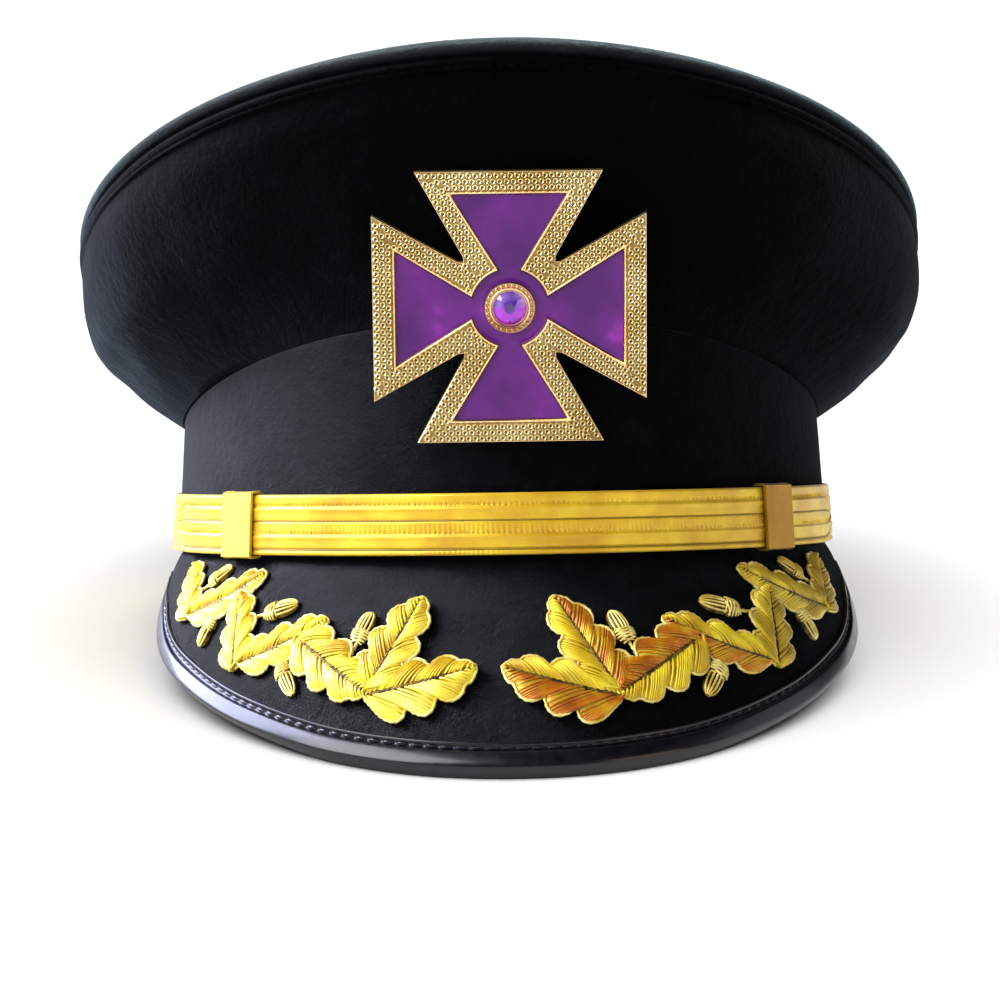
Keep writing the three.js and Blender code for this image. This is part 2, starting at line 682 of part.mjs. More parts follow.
// The whole cap, leaned back until it rests, with the origin under the middle of its outline.
const badge = makeBadge();
const cap = new THREE.Group();
cap.add(
  makeBand(),
  makeCrownSide(toSolid(post(POST.hole).applyMatrix4(badge.matrix))),
  makeCrownTop(),
  makePeak(),
  makeBinding(),
  makeSpray('peak_embroidery_left', -1),
  makeSpray('peak_embroidery_right', 1),
  makeUnderStrap(),
  makeOverStrap(),
  makeKeeper('keeper_left', -KEEPER.angle),
  makeKeeper('keeper_right', KEEPER.angle),
  makeButton('side_button_left', -BUTTON.angle),
  makeButton('side_button_right', BUTTON.angle),
  badge,
);
cap.rotation.x = -TILT;
cap.position.z = LIFT;
const extent = new THREE.Box3().setFromObject(cap, true);
cap.position.y = -(extent.min.y + extent.max.y) / 2;

const model = new THREE.Group();
model.add(cap);

export default model;
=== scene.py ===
from collections import namedtuple
from math import asin, atan2, cos, hypot, pi, radians, sin
from types import SimpleNamespace as Sizes

import bmesh
import bpy
import numpy as np
from mathutils import Matrix, Vector, geometry, noise


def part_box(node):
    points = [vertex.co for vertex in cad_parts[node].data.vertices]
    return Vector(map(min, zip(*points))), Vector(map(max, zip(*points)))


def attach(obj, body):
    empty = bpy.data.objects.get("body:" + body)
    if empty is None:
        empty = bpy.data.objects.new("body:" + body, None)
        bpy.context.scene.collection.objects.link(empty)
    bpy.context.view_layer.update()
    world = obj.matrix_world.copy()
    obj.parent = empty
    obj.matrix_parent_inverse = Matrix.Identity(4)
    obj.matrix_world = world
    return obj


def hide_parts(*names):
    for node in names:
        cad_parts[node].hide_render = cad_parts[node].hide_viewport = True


# A peaked fatigue cap of black wool with a patent binding, a gold lace strap, embroidered sprays of
# oak leaves and an enamelled cross.
# Sizes are millimetres in the cap's own frame: the band's lower edge lies in z = 0, the wearer faces
# -Y and +Z is up. Angles are degrees round the cap from the front centre, positive towards +X.
# to_world turns such points into metres in the shared frame.

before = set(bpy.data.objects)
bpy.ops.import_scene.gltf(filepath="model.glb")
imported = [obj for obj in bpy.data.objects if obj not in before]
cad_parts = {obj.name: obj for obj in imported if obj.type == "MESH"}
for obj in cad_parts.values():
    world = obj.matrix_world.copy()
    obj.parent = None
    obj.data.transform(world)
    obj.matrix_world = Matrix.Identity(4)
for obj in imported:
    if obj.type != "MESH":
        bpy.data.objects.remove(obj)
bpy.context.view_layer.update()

# The clearance that neighbouring pieces keep.
GAP = 0.3

# The cloth body. Its driving sizes are the solids', but for the rim, which is drawn in a little, and
# the wall, whose cloth droops over the band at the sides and back.
BAND = Sizes(half_width=87.5, half_length=103, wall=3, front_height=56, back_height=33)
BAND_STEP = (15, 105)
BAND_TAPER = 3.5
BAND_FRONT_LEAN = 4
RIM = Sizes(half_width=111.3, front_length=125, back_length=123, fullness=0.034)
RIM_HEIGHT = Sizes(mean=90.5, slope=26.3, saddle=6.5, dome=3)
CLOTH = 2
# How far the rim seam lies under the top: as TOP_EDGE has it, at the front and at the sides.
SHOULDER = Sizes(drawn=7, front=5, side=8.8)
# The wall's root lies this far inside the band's face and this far over the band's top.
ROOT_STEP = 2.0
SEAM_GAP = 0.02
DROOP = 3.5
# How far out the wall has gone at each share of its height, and the top's edge at each drop.
CROWN_WALL = {
    "rise": (0, 0.04, 0.12, 0.25, 0.41, 0.60, 0.80, 1.00),
    "front": (0, 0.02, 0.10, 0.25, 0.45, 0.69, 0.91, 1.00),
    "side": (0, 0.07, 0.24, 0.58, 0.89, 1.01, 1.035, 1.00),
}
TOP_EDGE = {
    "radius": (0.01, 0.40, 0.74, 0.90, 0.95, 0.98, 1.00, 1.008, 1.006, 0.996),
    "drop": (0, 0, 0, 0, 0.25, 1.0, 2.7, 4.4, 6.0, 6.7),
}

# The peak: where its edge lies for each station round the band. The first row mirrors the third.
PEAK_EDGE = {
    "angle": (-15, 0, 15, 30, 45, 58, 68, 75, 79),
    "side": (-24, 0, 24, 47, 68, 81.5, 88, 90, 88.5),
    "ahead": (133, 137, 133, 120.5, 99, 75, 54, 38, 26),
    "drop": (46.8, 47.5, 46.8, 44, 38, 31, 24.5, 16.5, 8),
}
PEAK = Sizes(board=2.4, arch=1.6, end=79, tuck=1.0)
BINDING = Sizes(lip=6, leather=0.8)

# The strap's layers, as distances out from the band's face.
LAYER = Sizes(keeper_back=0.3, under=1.1, over=2.3, keeper_front=3.5)
LACE = Sizes(width=15, thick=0.9, foot=0.6)
LACE_MIDDLE = LACE.foot + LACE.width / 2
KEEPER = Sizes(angle=48.5, spread=3.6, back=0.5, thick=0.5, front_extra=0.25, roll=0.14)
OVER_STRAP_END = 72
END_SPREAD = 5
BUTTON_ANGLE = 112

# The badge, with its own x across, y up and z out of its face.
BADGE = Sizes(reach=32.5, flare=22.3, notch=10.8, notch_round=1.3, face=2.15, pocket=1.1)
FIELD = Sizes(reach=27, flare=13.6, neck=2.4, disc=9.2)
CUP_RADIUS = 4.4
# The stone's radii and heights, from its table over a ring of corners to the girdle and its back.
STONE = Sizes(
    table=1.3, table_height=4.1, crown=2.75, crown_height=3.56, girdle=4.15, girdle_height=2.7, back=1.5
)
BADGE_PLACE = Sizes(height=60, lean=12.2, ahead=112.6)
POST = Sizes(radius=1.5, length=9)

# The embroidery: where each leaf's and acorn's stalk and tip lie, as an angle round the band and a
# share of the way down the peak, its half widths, how high it lies over its neighbours and which
# half of a leaf on the right is laid in a deeper, copper-toned thread that is painted shade.
Sprig = namedtuple("Sprig", "outline angle share tip_angle tip_share above below layer deep", defaults=("",))
SPRAY = (
    Sprig("leaf", 19.0, 0.69, 10.2, 0.218, 7.2, 6.4, 0.45, "above"),
    Sprig("leaf", 19.6, 0.72, 2.3, 0.557, 6.6, 8.6, 0.15, "below"),
    Sprig("leaf", 32.2, 0.47, 19.0, 0.710, 7.4, 7.4, 0.60, "above"),
    Sprig("leaf", 44.0, 0.69, 26.6, 0.355, 6.2, 5.4, 0.20, "below"),
    Sprig("leaf", 44.9, 0.74, 46.2, 0.250, 6.6, 5.6, 0.50),
    Sprig("leaf", 60.6, 0.52, 41.6, 0.116, 5.8, 5.2, 0.10),
    Sprig("leaf", 60.4, 0.54, 64.0, 0.090, 5.0, 6.0, 0.40),
    Sprig("acorn", 22.4, 0.54, 18.8, 0.297, 2.4, 2.4, 0.0),
    Sprig("acorn", 43.2, 0.40, 33.2, 0.276, 2.4, 2.4, 0.0),
    Sprig("acorn", 36.6, 0.56, 32.4, 0.769, 2.4, 2.4, 0.0),
    Sprig("acorn", 51.2, 0.33, 55.2, 0.688, 2.2, 2.2, 0.0),
    Sprig("acorn", 59.0, 0.30, 51.6, 0.080, 2.0, 2.0, 0.0),
)
# How far each spray is turned to the viewer's left, at its inner and its outer end.
SPRAY_SHIFT = Sizes(left=(3.5, -0.8), right=(4.3, 2.0), between=(8, 64))
# The outlines of a leaf and an acorn: half widths along them.
LEAF = {
    "along": (0, 0.05, 0.13, 0.23, 0.31, 0.36, 0.41, 0.50, 0.58, 0.63, 0.68, 0.76, 0.84, 0.88, 0.94, 1),
    "out": (0.06, 0.34, 0.78, 1.00, 0.92, 0.66, 0.86, 1.02, 0.88, 0.58, 0.72, 0.80, 0.66, 0.44, 0.36, 0.04),
}
ACORN = {
    "along": (0.34, 0.37, 0.42, 0.50, 0.58, 0.62, 0.70, 0.84, 0.95, 1.00),
    "cup": (0.30, 0.75, 0.98, 1.06, 0.98, 0.20, 0.10, 0.05, 0.05, 0.05),
    "nut": (0.10, 0.20, 0.30, 0.50, 0.78, 0.90, 0.95, 0.86, 0.58, 0.12),
}
# A leaf's threads: their heights over the peak, their spacing and radius, and how far they slant.
THREAD = Sizes(under=0.3, middle=0.75, crest=1.75, edge=0.7, pitch=0.5, radius=0.29, lead=1.25)
# The radius and the twist's length of the cords round a leaf, along its vein and as a stalk.
CORD = Sizes(edge=(0.37, 1.6), vein=(0.46, 1.5), stalk=(0.42, 1.4), strand=0.24, end=0.4)

# How many stations each length of cloth or leather has.
STATIONS = Sizes(band=420, crown_side=500, crown_top=360, peak=260, binding=390)

# Smooth curves and soft noise.


def smoothstep(value, low, high):
    share = np.clip((np.asarray(value, float) - low) / (high - low), 0, 1)
    return share * share * (3 - 2 * share)


def lerp(start, end, share):
    return start + (end - start) * share


def xyz(x, y, z):
    return np.stack(np.broadcast_arrays(x, y, z), axis=-1).astype(float)


def unit(vectors):
    return vectors / np.maximum(np.linalg.norm(vectors, axis=-1, keepdims=True), 1e-12)


def curve_through(keys, values, at):
    """A smooth curve through the rows of a table, read at any place."""
    keys, values, at = (np.asarray(part, float) for part in (keys, values, at))
    slopes = np.empty_like(values)
    slopes[1:-1] = (values[2:] - values[:-2]) / (keys[2:] - keys[:-2])
    slopes[0] = (values[1] - values[0]) / (keys[1] - keys[0])
    slopes[-1] = (values[-1] - values[-2]) / (keys[-1] - keys[-2])
    row = np.clip(np.searchsorted(keys, at, side="right") - 1, 0, len(keys) - 2)
    span = keys[row + 1] - keys[row]
    t = np.clip((at - keys[row]) / span, 0, 1)
    rise = t * t * (3 - 2 * t)
    bend = slopes[row] * t * (1 - t) ** 2 - slopes[row + 1] * t * t * (1 - t)
    return lerp(values[row], values[row + 1], rise) + span * bend


def unevenness(points, size, seed):
    """Soft noise from about -1 to 1, with bumps of that size in millimetres."""
    flat = points.reshape(-1, 3) / size + seed
    return np.array([noise.noise(Vector(point)) for point in flat]).reshape(points.shape[:-1])


# A lump in cloth: its height, its size across and a seed.
Lump = namedtuple("Lump", "height size seed")


def lumpiness(points, lumps):
    return sum(lump.height * unevenness(points, lump.size, lump.seed) for lump in lumps)


def run_length(path):
    """How far each point of a path lies along it."""
    steps = np.linalg.norm(np.diff(path, axis=0), axis=-1)
    return np.concatenate([[0], np.cumsum(steps)])


def evenly_spaced(path, step):
    """The same path with its points about one step apart."""
    length = run_length(path)
    at = np.linspace(0, length[-1], max(int(length[-1] / step), 2) + 1)
    return np.stack([np.interp(at, length, path[:, axis]) for axis in range(3)], axis=-1)


# The cap's surfaces.


def band_top(angle):
    return lerp(BAND.front_height, BAND.back_height, smoothstep(np.abs(angle), *BAND_STEP))


def band_point(angle, height, offset=0.0):
    """A point on the band's face, moved out by an offset."""
    turn = np.radians(angle)
    share = np.asarray(height, float) / BAND.front_height
    x = (BAND.half_width - BAND_TAPER * share + offset) * np.sin(turn)
    lean = BAND_FRONT_LEAN * share * np.maximum(0, np.cos(turn)) ** 2
    y = -(BAND.half_length + offset) * np.cos(turn) - lean
    return xyz(x, y, height)


def top_height(share, angle):
    """The height of the top surface at a share of the rim's radius."""
    turn = np.radians(angle)
    slope = RIM_HEIGHT.slope * share * np.cos(turn)
    saddle = RIM_HEIGHT.saddle * share**2 * np.cos(2 * turn)
    return RIM_HEIGHT.mean + slope + saddle + RIM_HEIGHT.dome * (1 - share**2)


def frontness(angle):
    """From 0 at the sides and back to 1 at the front."""
    return smoothstep(np.cos(np.radians(angle)), 0.1, 0.95)


def shoulder(angle):
    """How far the rim seam lies under the top: less at the front than at the sides."""
    return lerp(SHOULDER.side, SHOULDER.front, frontness(angle))


def rim_point(share, angle, height):
    turn = np.radians(angle)
    length = lerp(RIM.back_length, RIM.front_length, (1 + np.cos(turn)) / 2)
    full = share * (1 + RIM.fullness * np.sin(2 * turn) ** 2)
    return xyz(full * RIM.half_width * np.sin(turn), -full * length * np.cos(turn), height)


def edge_point(angle):
    """The outer edge of the peak, mirrored about the front."""
    column = {name: curve_through(PEAK_EDGE["angle"], PEAK_EDGE[name], np.abs(angle)) for name in PEAK_EDGE}
    return xyz(column["side"] * np.sign(angle), -column["ahead"], -column["drop"])


def peak_frame(angle):
    """The line down the peak's upper face at an angle, from the band to the edge."""
    angle = np.asarray(angle, float)
    root = band_point(angle, 0, -0.2)
    root[..., 2] = -GAP
    edge = edge_point(angle)
    along = edge_point(angle + 1) - edge_point(angle - 1)
    along = along + band_point(angle + 1, 0) - band_point(angle - 1, 0)
    down = edge - root
    normal = unit(np.cross(down, along))
    return Sizes(root=root, edge=edge, down=down, normal=normal, along=unit(along))


def peak_point(angle, share, lift):
    """A point over the peak's upper face: share runs from 0 at the band to 1 at the edge."""
    line = peak_frame(angle)
    share = np.asarray(share, float)
    length = np.linalg.norm(line.down, axis=-1)
    arch = PEAK.arch * np.minimum(1, length / 50) * 4 * share * (1 - share)
    return line.root + line.down * share[..., None] + line.normal * (arch + lift)[..., None]


# How the cap rests: on the nose of its binding and the back of its band, which give a little.
SOFT = Sizes(back=1.5, front=0.5)


def resting_tilt():
    ahead, drop = PEAK_EDGE["ahead"][1], PEAK_EDGE["drop"][1]
    nose = PEAK.board / 2 + GAP + BINDING.leather
    down = atan2(drop, ahead - BAND.half_length)
    reach = BAND.half_length + ahead - PEAK.board / 2 * sin(down)
    depth = drop + PEAK.board / 2 * cos(down)
    return asin((nose + SOFT.back - SOFT.front) / hypot(reach, depth)) + atan2(depth, reach)


TILT = resting_tilt()
LIFT = BAND.half_length * sin(TILT) - SOFT.back
# The top of the band's back is its rearmost point, which says how far the cap was moved along Y.
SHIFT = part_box("band")[1].y * 1000 - (BAND.half_length * cos(TILT) + BAND.back_height * sin(TILT))


def to_world(points):
    """The cap's own millimetres as metres in the shared frame, pressed flat where it rests."""
    x, y, z = points[..., 0], points[..., 1], points[..., 2]
    back = y * cos(TILT) + z * sin(TILT) + SHIFT
    up = z * cos(TILT) - y * sin(TILT) + LIFT
    return xyz(x, back, np.maximum(up, 0)) / 1000


# Meshes.


def swept(sections, ring=False):
    """A closed body through sections, rows by corners by 3: a ring, or capped at both ends."""
    rows, corners = sections.shape[:2]
    index = np.arange(rows * corners).reshape(rows, corners)
    upper = np.roll(index, -1, axis=0) if ring else index[1:]
    lower = index if ring else index[:-1]
    quads = np.stack([lower, np.roll(lower, -1, 1), np.roll(upper, -1, 1), upper], axis=-1)
    faces = quads.reshape(-1, 4).tolist()
    if not ring:
        faces += [index[0].tolist(), index[-1].tolist()]
    return sections.reshape(-1, 3), faces


def strands(paths, ups, radius, sides=5):
    """Closed round strands, one along each row of paths. radius may vary along and round them."""
    ahead = np.gradient(paths, axis=1)
    across = unit(np.cross(ahead, ups))
    up = unit(np.cross(across, ahead))
    turn = 2 * pi * np.arange(sides) / sides
    ring = np.cos(turn)[:, None] * across[:, :, None, :] + np.sin(turn)[:, None] * up[:, :, None, :]
    size = np.broadcast_to(radius, (*paths.shape[:2], sides))
    points = paths[:, :, None, :] + ring * size[..., None]
    faces, all_points, start = [], [], 0
    for body in points:
        body_points, body_faces = swept(body)
        faces += [[start + corner for corner in face] for face in body_faces]
        all_points.append(body_points)
        start += len(body_points)
    return np.concatenate(all_points), faces


def twisted_cord(path, up, radius, pitch, sides=8):
    """A cord of two strands twisted together, along an evenly spaced path."""
    turn = 2 * pi * np.arange(sides) / sides
    twist = 2 * pi * run_length(path)[:, None] / pitch
    size = radius * (1 + CORD.strand * np.cos(2 * turn - twist))
    size[[0, -1]] *= CORD.end
    return strands(path[None], np.broadcast_to(up, path[None].shape), size[None], sides)


def repeated(template, places):
    """Copies of one small body, moved to each place."""
    points, faces = template
    start = np.arange(len(places)) * len(points)
    all_faces = [[corner + first for corner in face] for first in start.tolist() for face in faces]
    return (points[None] + places[:, None]).reshape(-1, 3), all_faces


def revolved(profile, segments, ring=False):
    """A body or ring turned round its z axis from rows of radius and height."""
    turn = 2 * pi * np.arange(segments) / segments
    radius, height = np.asarray(profile, float).T
    radius = np.maximum(radius, 0.01)[:, None]
    return swept(xyz(radius * np.cos(turn), radius * np.sin(turn), height[:, None]), ring)


def shell(chains, lids):
    """A closed body from chains of loops, joined loop to loop, and lids. A lid names the loops that
    bound it, the outer one first, as pairs of a chain and a level in it."""
    points, faces, starts = [], [], {}
    count = 0
    for c, chain in enumerate(chains):
        for level, loop in enumerate(chain):
            starts[c, level % len(chain)] = count
            points.append(loop)
            count += len(loop)
        for level in range(len(chain) - 1):
            low, high = starts[c, level], starts[c, level + 1]
            size = len(chain[level])
            faces += [
                [low + k, low + (k + 1) % size, high + (k + 1) % size, high + k] for k in range(size)
            ]
    for lid in lids:
        names = [(c, level % len(chains[c])) for c, level in lid]
        loops = [chains[c][level] for c, level in names]
        corners = [starts[name] + k for name, loop in zip(names, loops) for k in range(len(loop))]
        flat = [[Vector((x, y, 0)) for x, y, _ in loop] for loop in loops]
        faces += [[corners[k] for k in face] for face in geometry.tessellate_polygon(flat)]
    return np.concatenate(points), faces


PIECES = []


def piece(name, parts, slot, *nodes, crease=40):
    """Joins closed bodies, each with its material, into one piece that stands for CAD nodes."""
    points, faces, used, finish = [], [], [], []
    start = 0
    for part_points, part_faces, material in parts:
        if material not in used:
            used.append(material)
        points.append(part_points)
        faces += [[start + corner for corner in face] for face in part_faces]
        finish += [used.index(material)] * len(part_faces)
        start += len(part_points)
    mesh = bpy.data.meshes.new(name)
    mesh.from_pydata(to_world(np.concatenate(points)), [], faces)
    for material in used:
        mesh.materials.append(material)
    mesh.polygons.foreach_set("material_index", finish)
    mesh.polygons.foreach_set("use_smooth", [True] * len(faces))
    shape = bmesh.new()
    shape.from_mesh(mesh)
    bmesh.ops.recalc_face_normals(shape, faces=shape.faces)
    shape.to_mesh(mesh)
    shape.free()
    mesh.set_sharp_from_angle(angle=radians(crease))
    made = bpy.data.objects.new(name, mesh)
    bpy.context.scene.collection.objects.link(made)
    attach(made, "root")
    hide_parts(*nodes)
    PIECES.append(made)
    return made


# Materials.

NOISE = "ShaderNodeTexNoise"
RAMP = "ShaderNodeValToRGB"
RANGE = "ShaderNodeMapRange"
BUMP = "ShaderNodeBump"


def colour(code):
    """An sRGB hex colour as the linear colour that Blender works in."""
    parts = [int(code[k : k + 2], 16) / 255 for k in (1, 3, 5)]
    return [part / 12.92 if part <= 0.04045 else ((part + 0.055) / 1.055) ** 2.4 for part in parts] + [1]


def per_mm(size):
    """The scale that gives a noise texture features of that size in millimetres."""
    return 1000 / size


def add(tree, kind, settings=None, links=None):
    """Adds a node, sets its properties and sockets, and links its inputs."""
    node = tree.nodes.new(kind)
    for name, value in (settings or {}).items():
        if name == "stops":
            for place, code in value:
                first = place == value[0][0]
                stop = node.color_ramp.elements[0] if first else node.color_ramp.elements.new(place)
                stop.position = place
                stop.color = colour(code)
            node.color_ramp.elements.remove(node.color_ramp.elements[-1])
        elif name in node.inputs:
            node.inputs[name].default_value = value
        else:
            setattr(node, name, value)
    for name, source in (links or {}).items():
        tree.links.new(source, node.inputs[name])
    return node


def new_material(name):
    material = bpy.data.materials.new(name)
    material.use_nodes = True
    tree = material.node_tree
    tree.nodes.clear()
    place = add(tree, "ShaderNodeTexCoord").outputs["Object"]
    return material, tree, place


def finish_material(tree, settings, links):
    shader = add(tree, "ShaderNodeBsdfPrincipled", settings, links)
    add(tree, "ShaderNodeOutputMaterial", links={"Surface": shader.outputs["BSDF"]})


def wool_cloth(name, stops, sheen):
    # Black wool barathea, woven and brushed: no gloss, a pale cool bloom of fibres where it turns
    # away, a nap that lies unevenly, and a fine grain. The 0.5 mm weave is drawn at 0.9 mm so that
    # it shows.
    material, tree, place = new_material(name)
    patches = add(tree, NOISE, {"Scale": per_mm(8), "Detail": 9.0, "Roughness": 0.62}, {"Vector": place})
    tint = add(tree, RAMP, {"stops": stops}, {"Fac": patches.outputs["Fac"]})
    grain = add(tree, NOISE, {"Scale": per_mm(0.9), "Detail": 4.0, "Roughness": 0.75}, {"Vector": place})
    nap = add(tree, NOISE, {"Scale": per_mm(3.2), "Detail": 5.0, "Roughness": 0.7}, {"Vector": place})
    lay = add(tree, BUMP, {"Strength": 0.6, "Distance": 0.0012}, {"Height": nap.outputs["Fac"]})
    bump = add(
        tree,
        BUMP,
        {"Strength": 0.6, "Distance": 0.0004},
        {"Height": grain.outputs["Fac"], "Normal": lay.outputs["Normal"]},
    )
    finish_material(
        tree,
        {
            "Roughness": 0.85,
            "Specular IOR Level": 0.02,
            "Sheen Weight": sheen,
            "Sheen Roughness": 0.27,
            "Sheen Tint": colour("#9DB0C4"),
        },
        {"Base Color": tint.outputs["Color"], "Normal": bump.outputs["Normal"]},
    )
    return material


def patent_leather():
    # Patent leather, coated: deep black under a clear glossy coat that ripples a little.
    material, tree, place = new_material("black_patent_leather_coated")
    ripple = add(tree, NOISE, {"Scale": per_mm(7), "Detail": 2.0}, {"Vector": place})
    bump = add(tree, BUMP, {"Strength": 0.25, "Distance": 0.0004}, {"Height": ripple.outputs["Fac"]})
    wear = add(tree, NOISE, {"Scale": per_mm(3), "Detail": 5.0}, {"Vector": place})
    gloss = add(tree, RANGE, {"To Min": 0.22, "To Max": 0.42}, {"Value": wear.outputs["Fac"]})
    stops = ((0.35, "#060609"), (0.75, "#10101A"))
    tint = add(tree, RAMP, {"stops": stops}, {"Fac": wear.outputs["Fac"]})
    finish_material(
        tree,
        {"IOR": 1.42, "Coat Weight": 0.25, "Coat Roughness": 0.14},
        {
            "Base Color": tint.outputs["Color"],
            "Roughness": gloss.outputs["Result"],
            "Normal": bump.outputs["Normal"],
        },
    )
    return material


def gold_thread(name, stops, metallic, roughness, patch):
    # Gilt thread, spun round a silk core: warm yellow that turns orange in its shadows, with a soft
    # metallic gloss and fine turns. The turns are drawn 0.35 mm apart so that they show.
    material, tree, place = new_material(name)
    patches = add(tree, NOISE, {"Scale": per_mm(patch), "Detail": 5.0}, {"Vector": place})
    tint = add(tree, RAMP, {"stops": stops}, {"Fac": patches.outputs["Fac"]})
    turns = add(tree, NOISE, {"Scale": per_mm(0.35), "Detail": 2.0}, {"Vector": place})
    bump = add(tree, BUMP, {"Strength": 0.3, "Distance": 0.0001}, {"Height": turns.outputs["Fac"]})
    finish_material(
        tree,
        {"Metallic": metallic, "Roughness": roughness, "Sheen Weight": 0.15, "Sheen Roughness": 0.3},
        {"Base Color": tint.outputs["Color"], "Normal": bump.outputs["Normal"]},
    )
    return material


def gilt_brass(name, stops, roughness, grit):
    # Brass, stamped and gilt: bright metal whose plating runs from pale yellow to a rosier gold,
    # with a fine grit in the low places.
    material, tree, place = new_material(name)
    patches = add(tree, NOISE, {"Scale": per_mm(16), "Detail": 3.0}, {"Vector": place})
    tint = add(tree, RAMP, {"stops": stops}, {"Fac": patches.outputs["Fac"]})
    fine = add(tree, NOISE, {"Scale": per_mm(grit), "Detail": 3.0}, {"Vector": place})
    spread = {"To Min": roughness, "To Max": roughness + 0.18}
    gloss = add(tree, RANGE, spread, {"Value": fine.outputs["Fac"]})
    bump = add(tree, BUMP, {"Strength": 0.2, "Distance": 0.0001}, {"Height": fine.outputs["Fac"]})
    finish_material(
        tree,
        {"Metallic": 1.0},
        {
            "Base Color": tint.outputs["Color"],
            "Roughness": gloss.outputs["Result"],
            "Normal": bump.outputs["Normal"],
        },
    )
    return material


def vitreous_enamel():
    # Enamel, fired into the sunk field: a deep violet that pools lighter here and there under a
    # glassy surface.
    material, tree, place = new_material("violet_enamel_fired")
    pooling = {"noise_dimensions": "4D", "W": 6.1, "Scale": per_mm(13), "Detail": 3.0}
    pools = add(tree, NOISE, pooling, {"Vector": place})
    stops = ((0.4, "#4C1864"), (0.6, "#621F7A"), (0.78, "#A030AE"))
    tint = add(tree, RAMP, {"stops": stops}, {"Fac": pools.outputs["Fac"]})
    swell = add(tree, NOISE, {"Scale": per_mm(6), "Detail": 1.0}, {"Vector": place})
    bump = add(tree, BUMP, {"Strength": 0.3, "Distance": 0.0003}, {"Height": swell.outputs["Fac"]})
    finish_material(
        tree,
        {"Roughness": 0.4, "Specular IOR Level": 0.0, "Coat Weight": 0.45, "Coat Roughness": 0.05},
        {"Base Color": tint.outputs["Color"], "Normal": bump.outputs["Normal"]},
    )
    return material


def cut_glass(name, stops):
    # Violet glass, cut and foiled behind. Each facet's brightness is painted reflection, set by which copy
    # of this glass it is given.
    material, tree, place = new_material(name)
    depth = add(tree, NOISE, {"Scale": per_mm(3), "Detail": 0.0}, {"Vector": place})
    tint = add(tree, RAMP, {"stops": stops}, {"Fac": depth.outputs["Fac"]})
    finish_material(
        tree,
        {"Metallic": 0.4, "Roughness": 0.1, "Coat Weight": 1.0, "Coat Roughness": 0.02},
        {"Base Color": tint.outputs["Color"]},
    )
    return material


def sewing_thread(name, stops, roughness, shine):
    # Black thread: a hard twisted line that catches light where the cloth or leather doesn't.
    material, tree, place = new_material(name)
    fibres = add(tree, NOISE, {"Scale": per_mm(0.6), "Detail": 3.0}, {"Vector": place})
    tint = add(tree, RAMP, {"stops": stops}, {"Fac": fibres.outputs["Fac"]})
    gloss = {"Roughness": roughness, "Specular IOR Level": shine}
    finish_material(tree, gloss, {"Base Color": tint.outputs["Color"]})
    return material


WOOL = wool_cloth(
    "black_wool_barathea_woven", ((0.35, "#010101"), (0.6, "#020203"), (0.75, "#060708")), 0.08
)
# Painted light: the band and peak take a paler copy of the crown's black wool, standing for the light that
# falls on them more than on the crown.
WOOL_PAINTED_LIGHTER = wool_cloth(
    "black_wool_barathea_brushed", ((0.38, "#040405"), (0.6, "#08080A"), (0.8, "#0E0F11")), 0.1
)
PATENT = patent_leather()
THREAD_COTTON = sewing_thread("black_cotton_thread_spun", ((0.3, "#020203"), (0.7, "#08090B")), 0.9, 0.05)
THREAD_WAXED = sewing_thread("black_linen_thread_waxed", ((0.3, "#0C0C10"), (0.7, "#2A2B32")), 0.3, 0.5)
# After each gold thread's colours come how metallic it is, its roughness and the size of its patches.
LACE_GOLD = gold_thread(
    "gold_wire_lace_woven", ((0.3, "#C8981A"), (0.5, "#D8B020"), (0.7, "#E8CC30")), 0.25, 0.38, 11
)
LACE_SATIN = gold_thread("gold_lace_satin_folded", ((0.3, "#C49A22"), (0.7, "#E8CA44")), 0.15, 0.45, 12)
# Painted shade: the right keeper takes a darker, browner copy of the satin, standing for the shadow it lies
# in.
LACE_PAINTED_SHADE = gold_thread("gold_lace_satin_worn", ((0.3, "#986C0C"), (0.7, "#B48818")), 0.7, 0.5, 12)
BULLION = gold_thread(
    "gold_bullion_thread_stitched", ((0.3, "#B4880E"), (0.5, "#DEC020"), (0.7, "#F6E83C")), 0.25, 0.34, 10
)
# Painted light: a paler copy of the bullion for the lower halves of the left spray's leaves, where the light
# falls.
BULLION_PAINTED_LIGHT = gold_thread(
    "pale_gold_bullion_stitched", ((0.3, "#D2B024"), (0.5, "#F0E04A"), (0.7, "#FAF484")), 0.2, 0.36, 8
)
# Painted shade: a darker, duller copy of the bullion for the right spray's leaves, which stand out of the
# light, for the padding that shows between the threads, and for the ticks on the lace.
BULLION_PAINTED_SHADE = gold_thread(
    "old_gold_bullion_stitched", ((0.3, "#9C8214"), (0.5, "#CCAE26"), (0.7, "#F2E046")), 0.25, 0.34, 9
)
# Painted shade: a deeper, copper-toned copy of the bullion for one half of some leaves on the right, the
# half turned from the light.
BULLION_PAINTED_DEEP_SHADE = gold_thread(
    "copper_gold_bullion_stitched", ((0.3, "#904002"), (0.48, "#C07006"), (0.66, "#DCB01A")), 0.25, 0.34, 8
)
BULLION_EDGE = gold_thread("gold_bullion_cord_twisted", ((0.35, "#C8A832"), (0.65, "#FAEE94")), 0.2, 0.4, 4)
BULLION_VEIN = gold_thread("copper_gold_cord_twisted", ((0.4, "#1E1404"), (0.65, "#8A6A14")), 0.3, 0.45, 2)
# Painted shade: a dark olive for the lines laid in the lace's grooves.
LACE_GROOVE_PAINTED_SHADE = gold_thread("olive_silk_ground_woven", ((0.3, "#6E5A0A"), (0.7, "#927A14")), 0.0, 0.6, 5)
# After each brass's colours come its roughness and the size of its grit.
GILT = gilt_brass("gilt_brass_stamped", ((0.35, "#E6D29A"), (0.65, "#F8F0CC")), 0.24, 0.5)
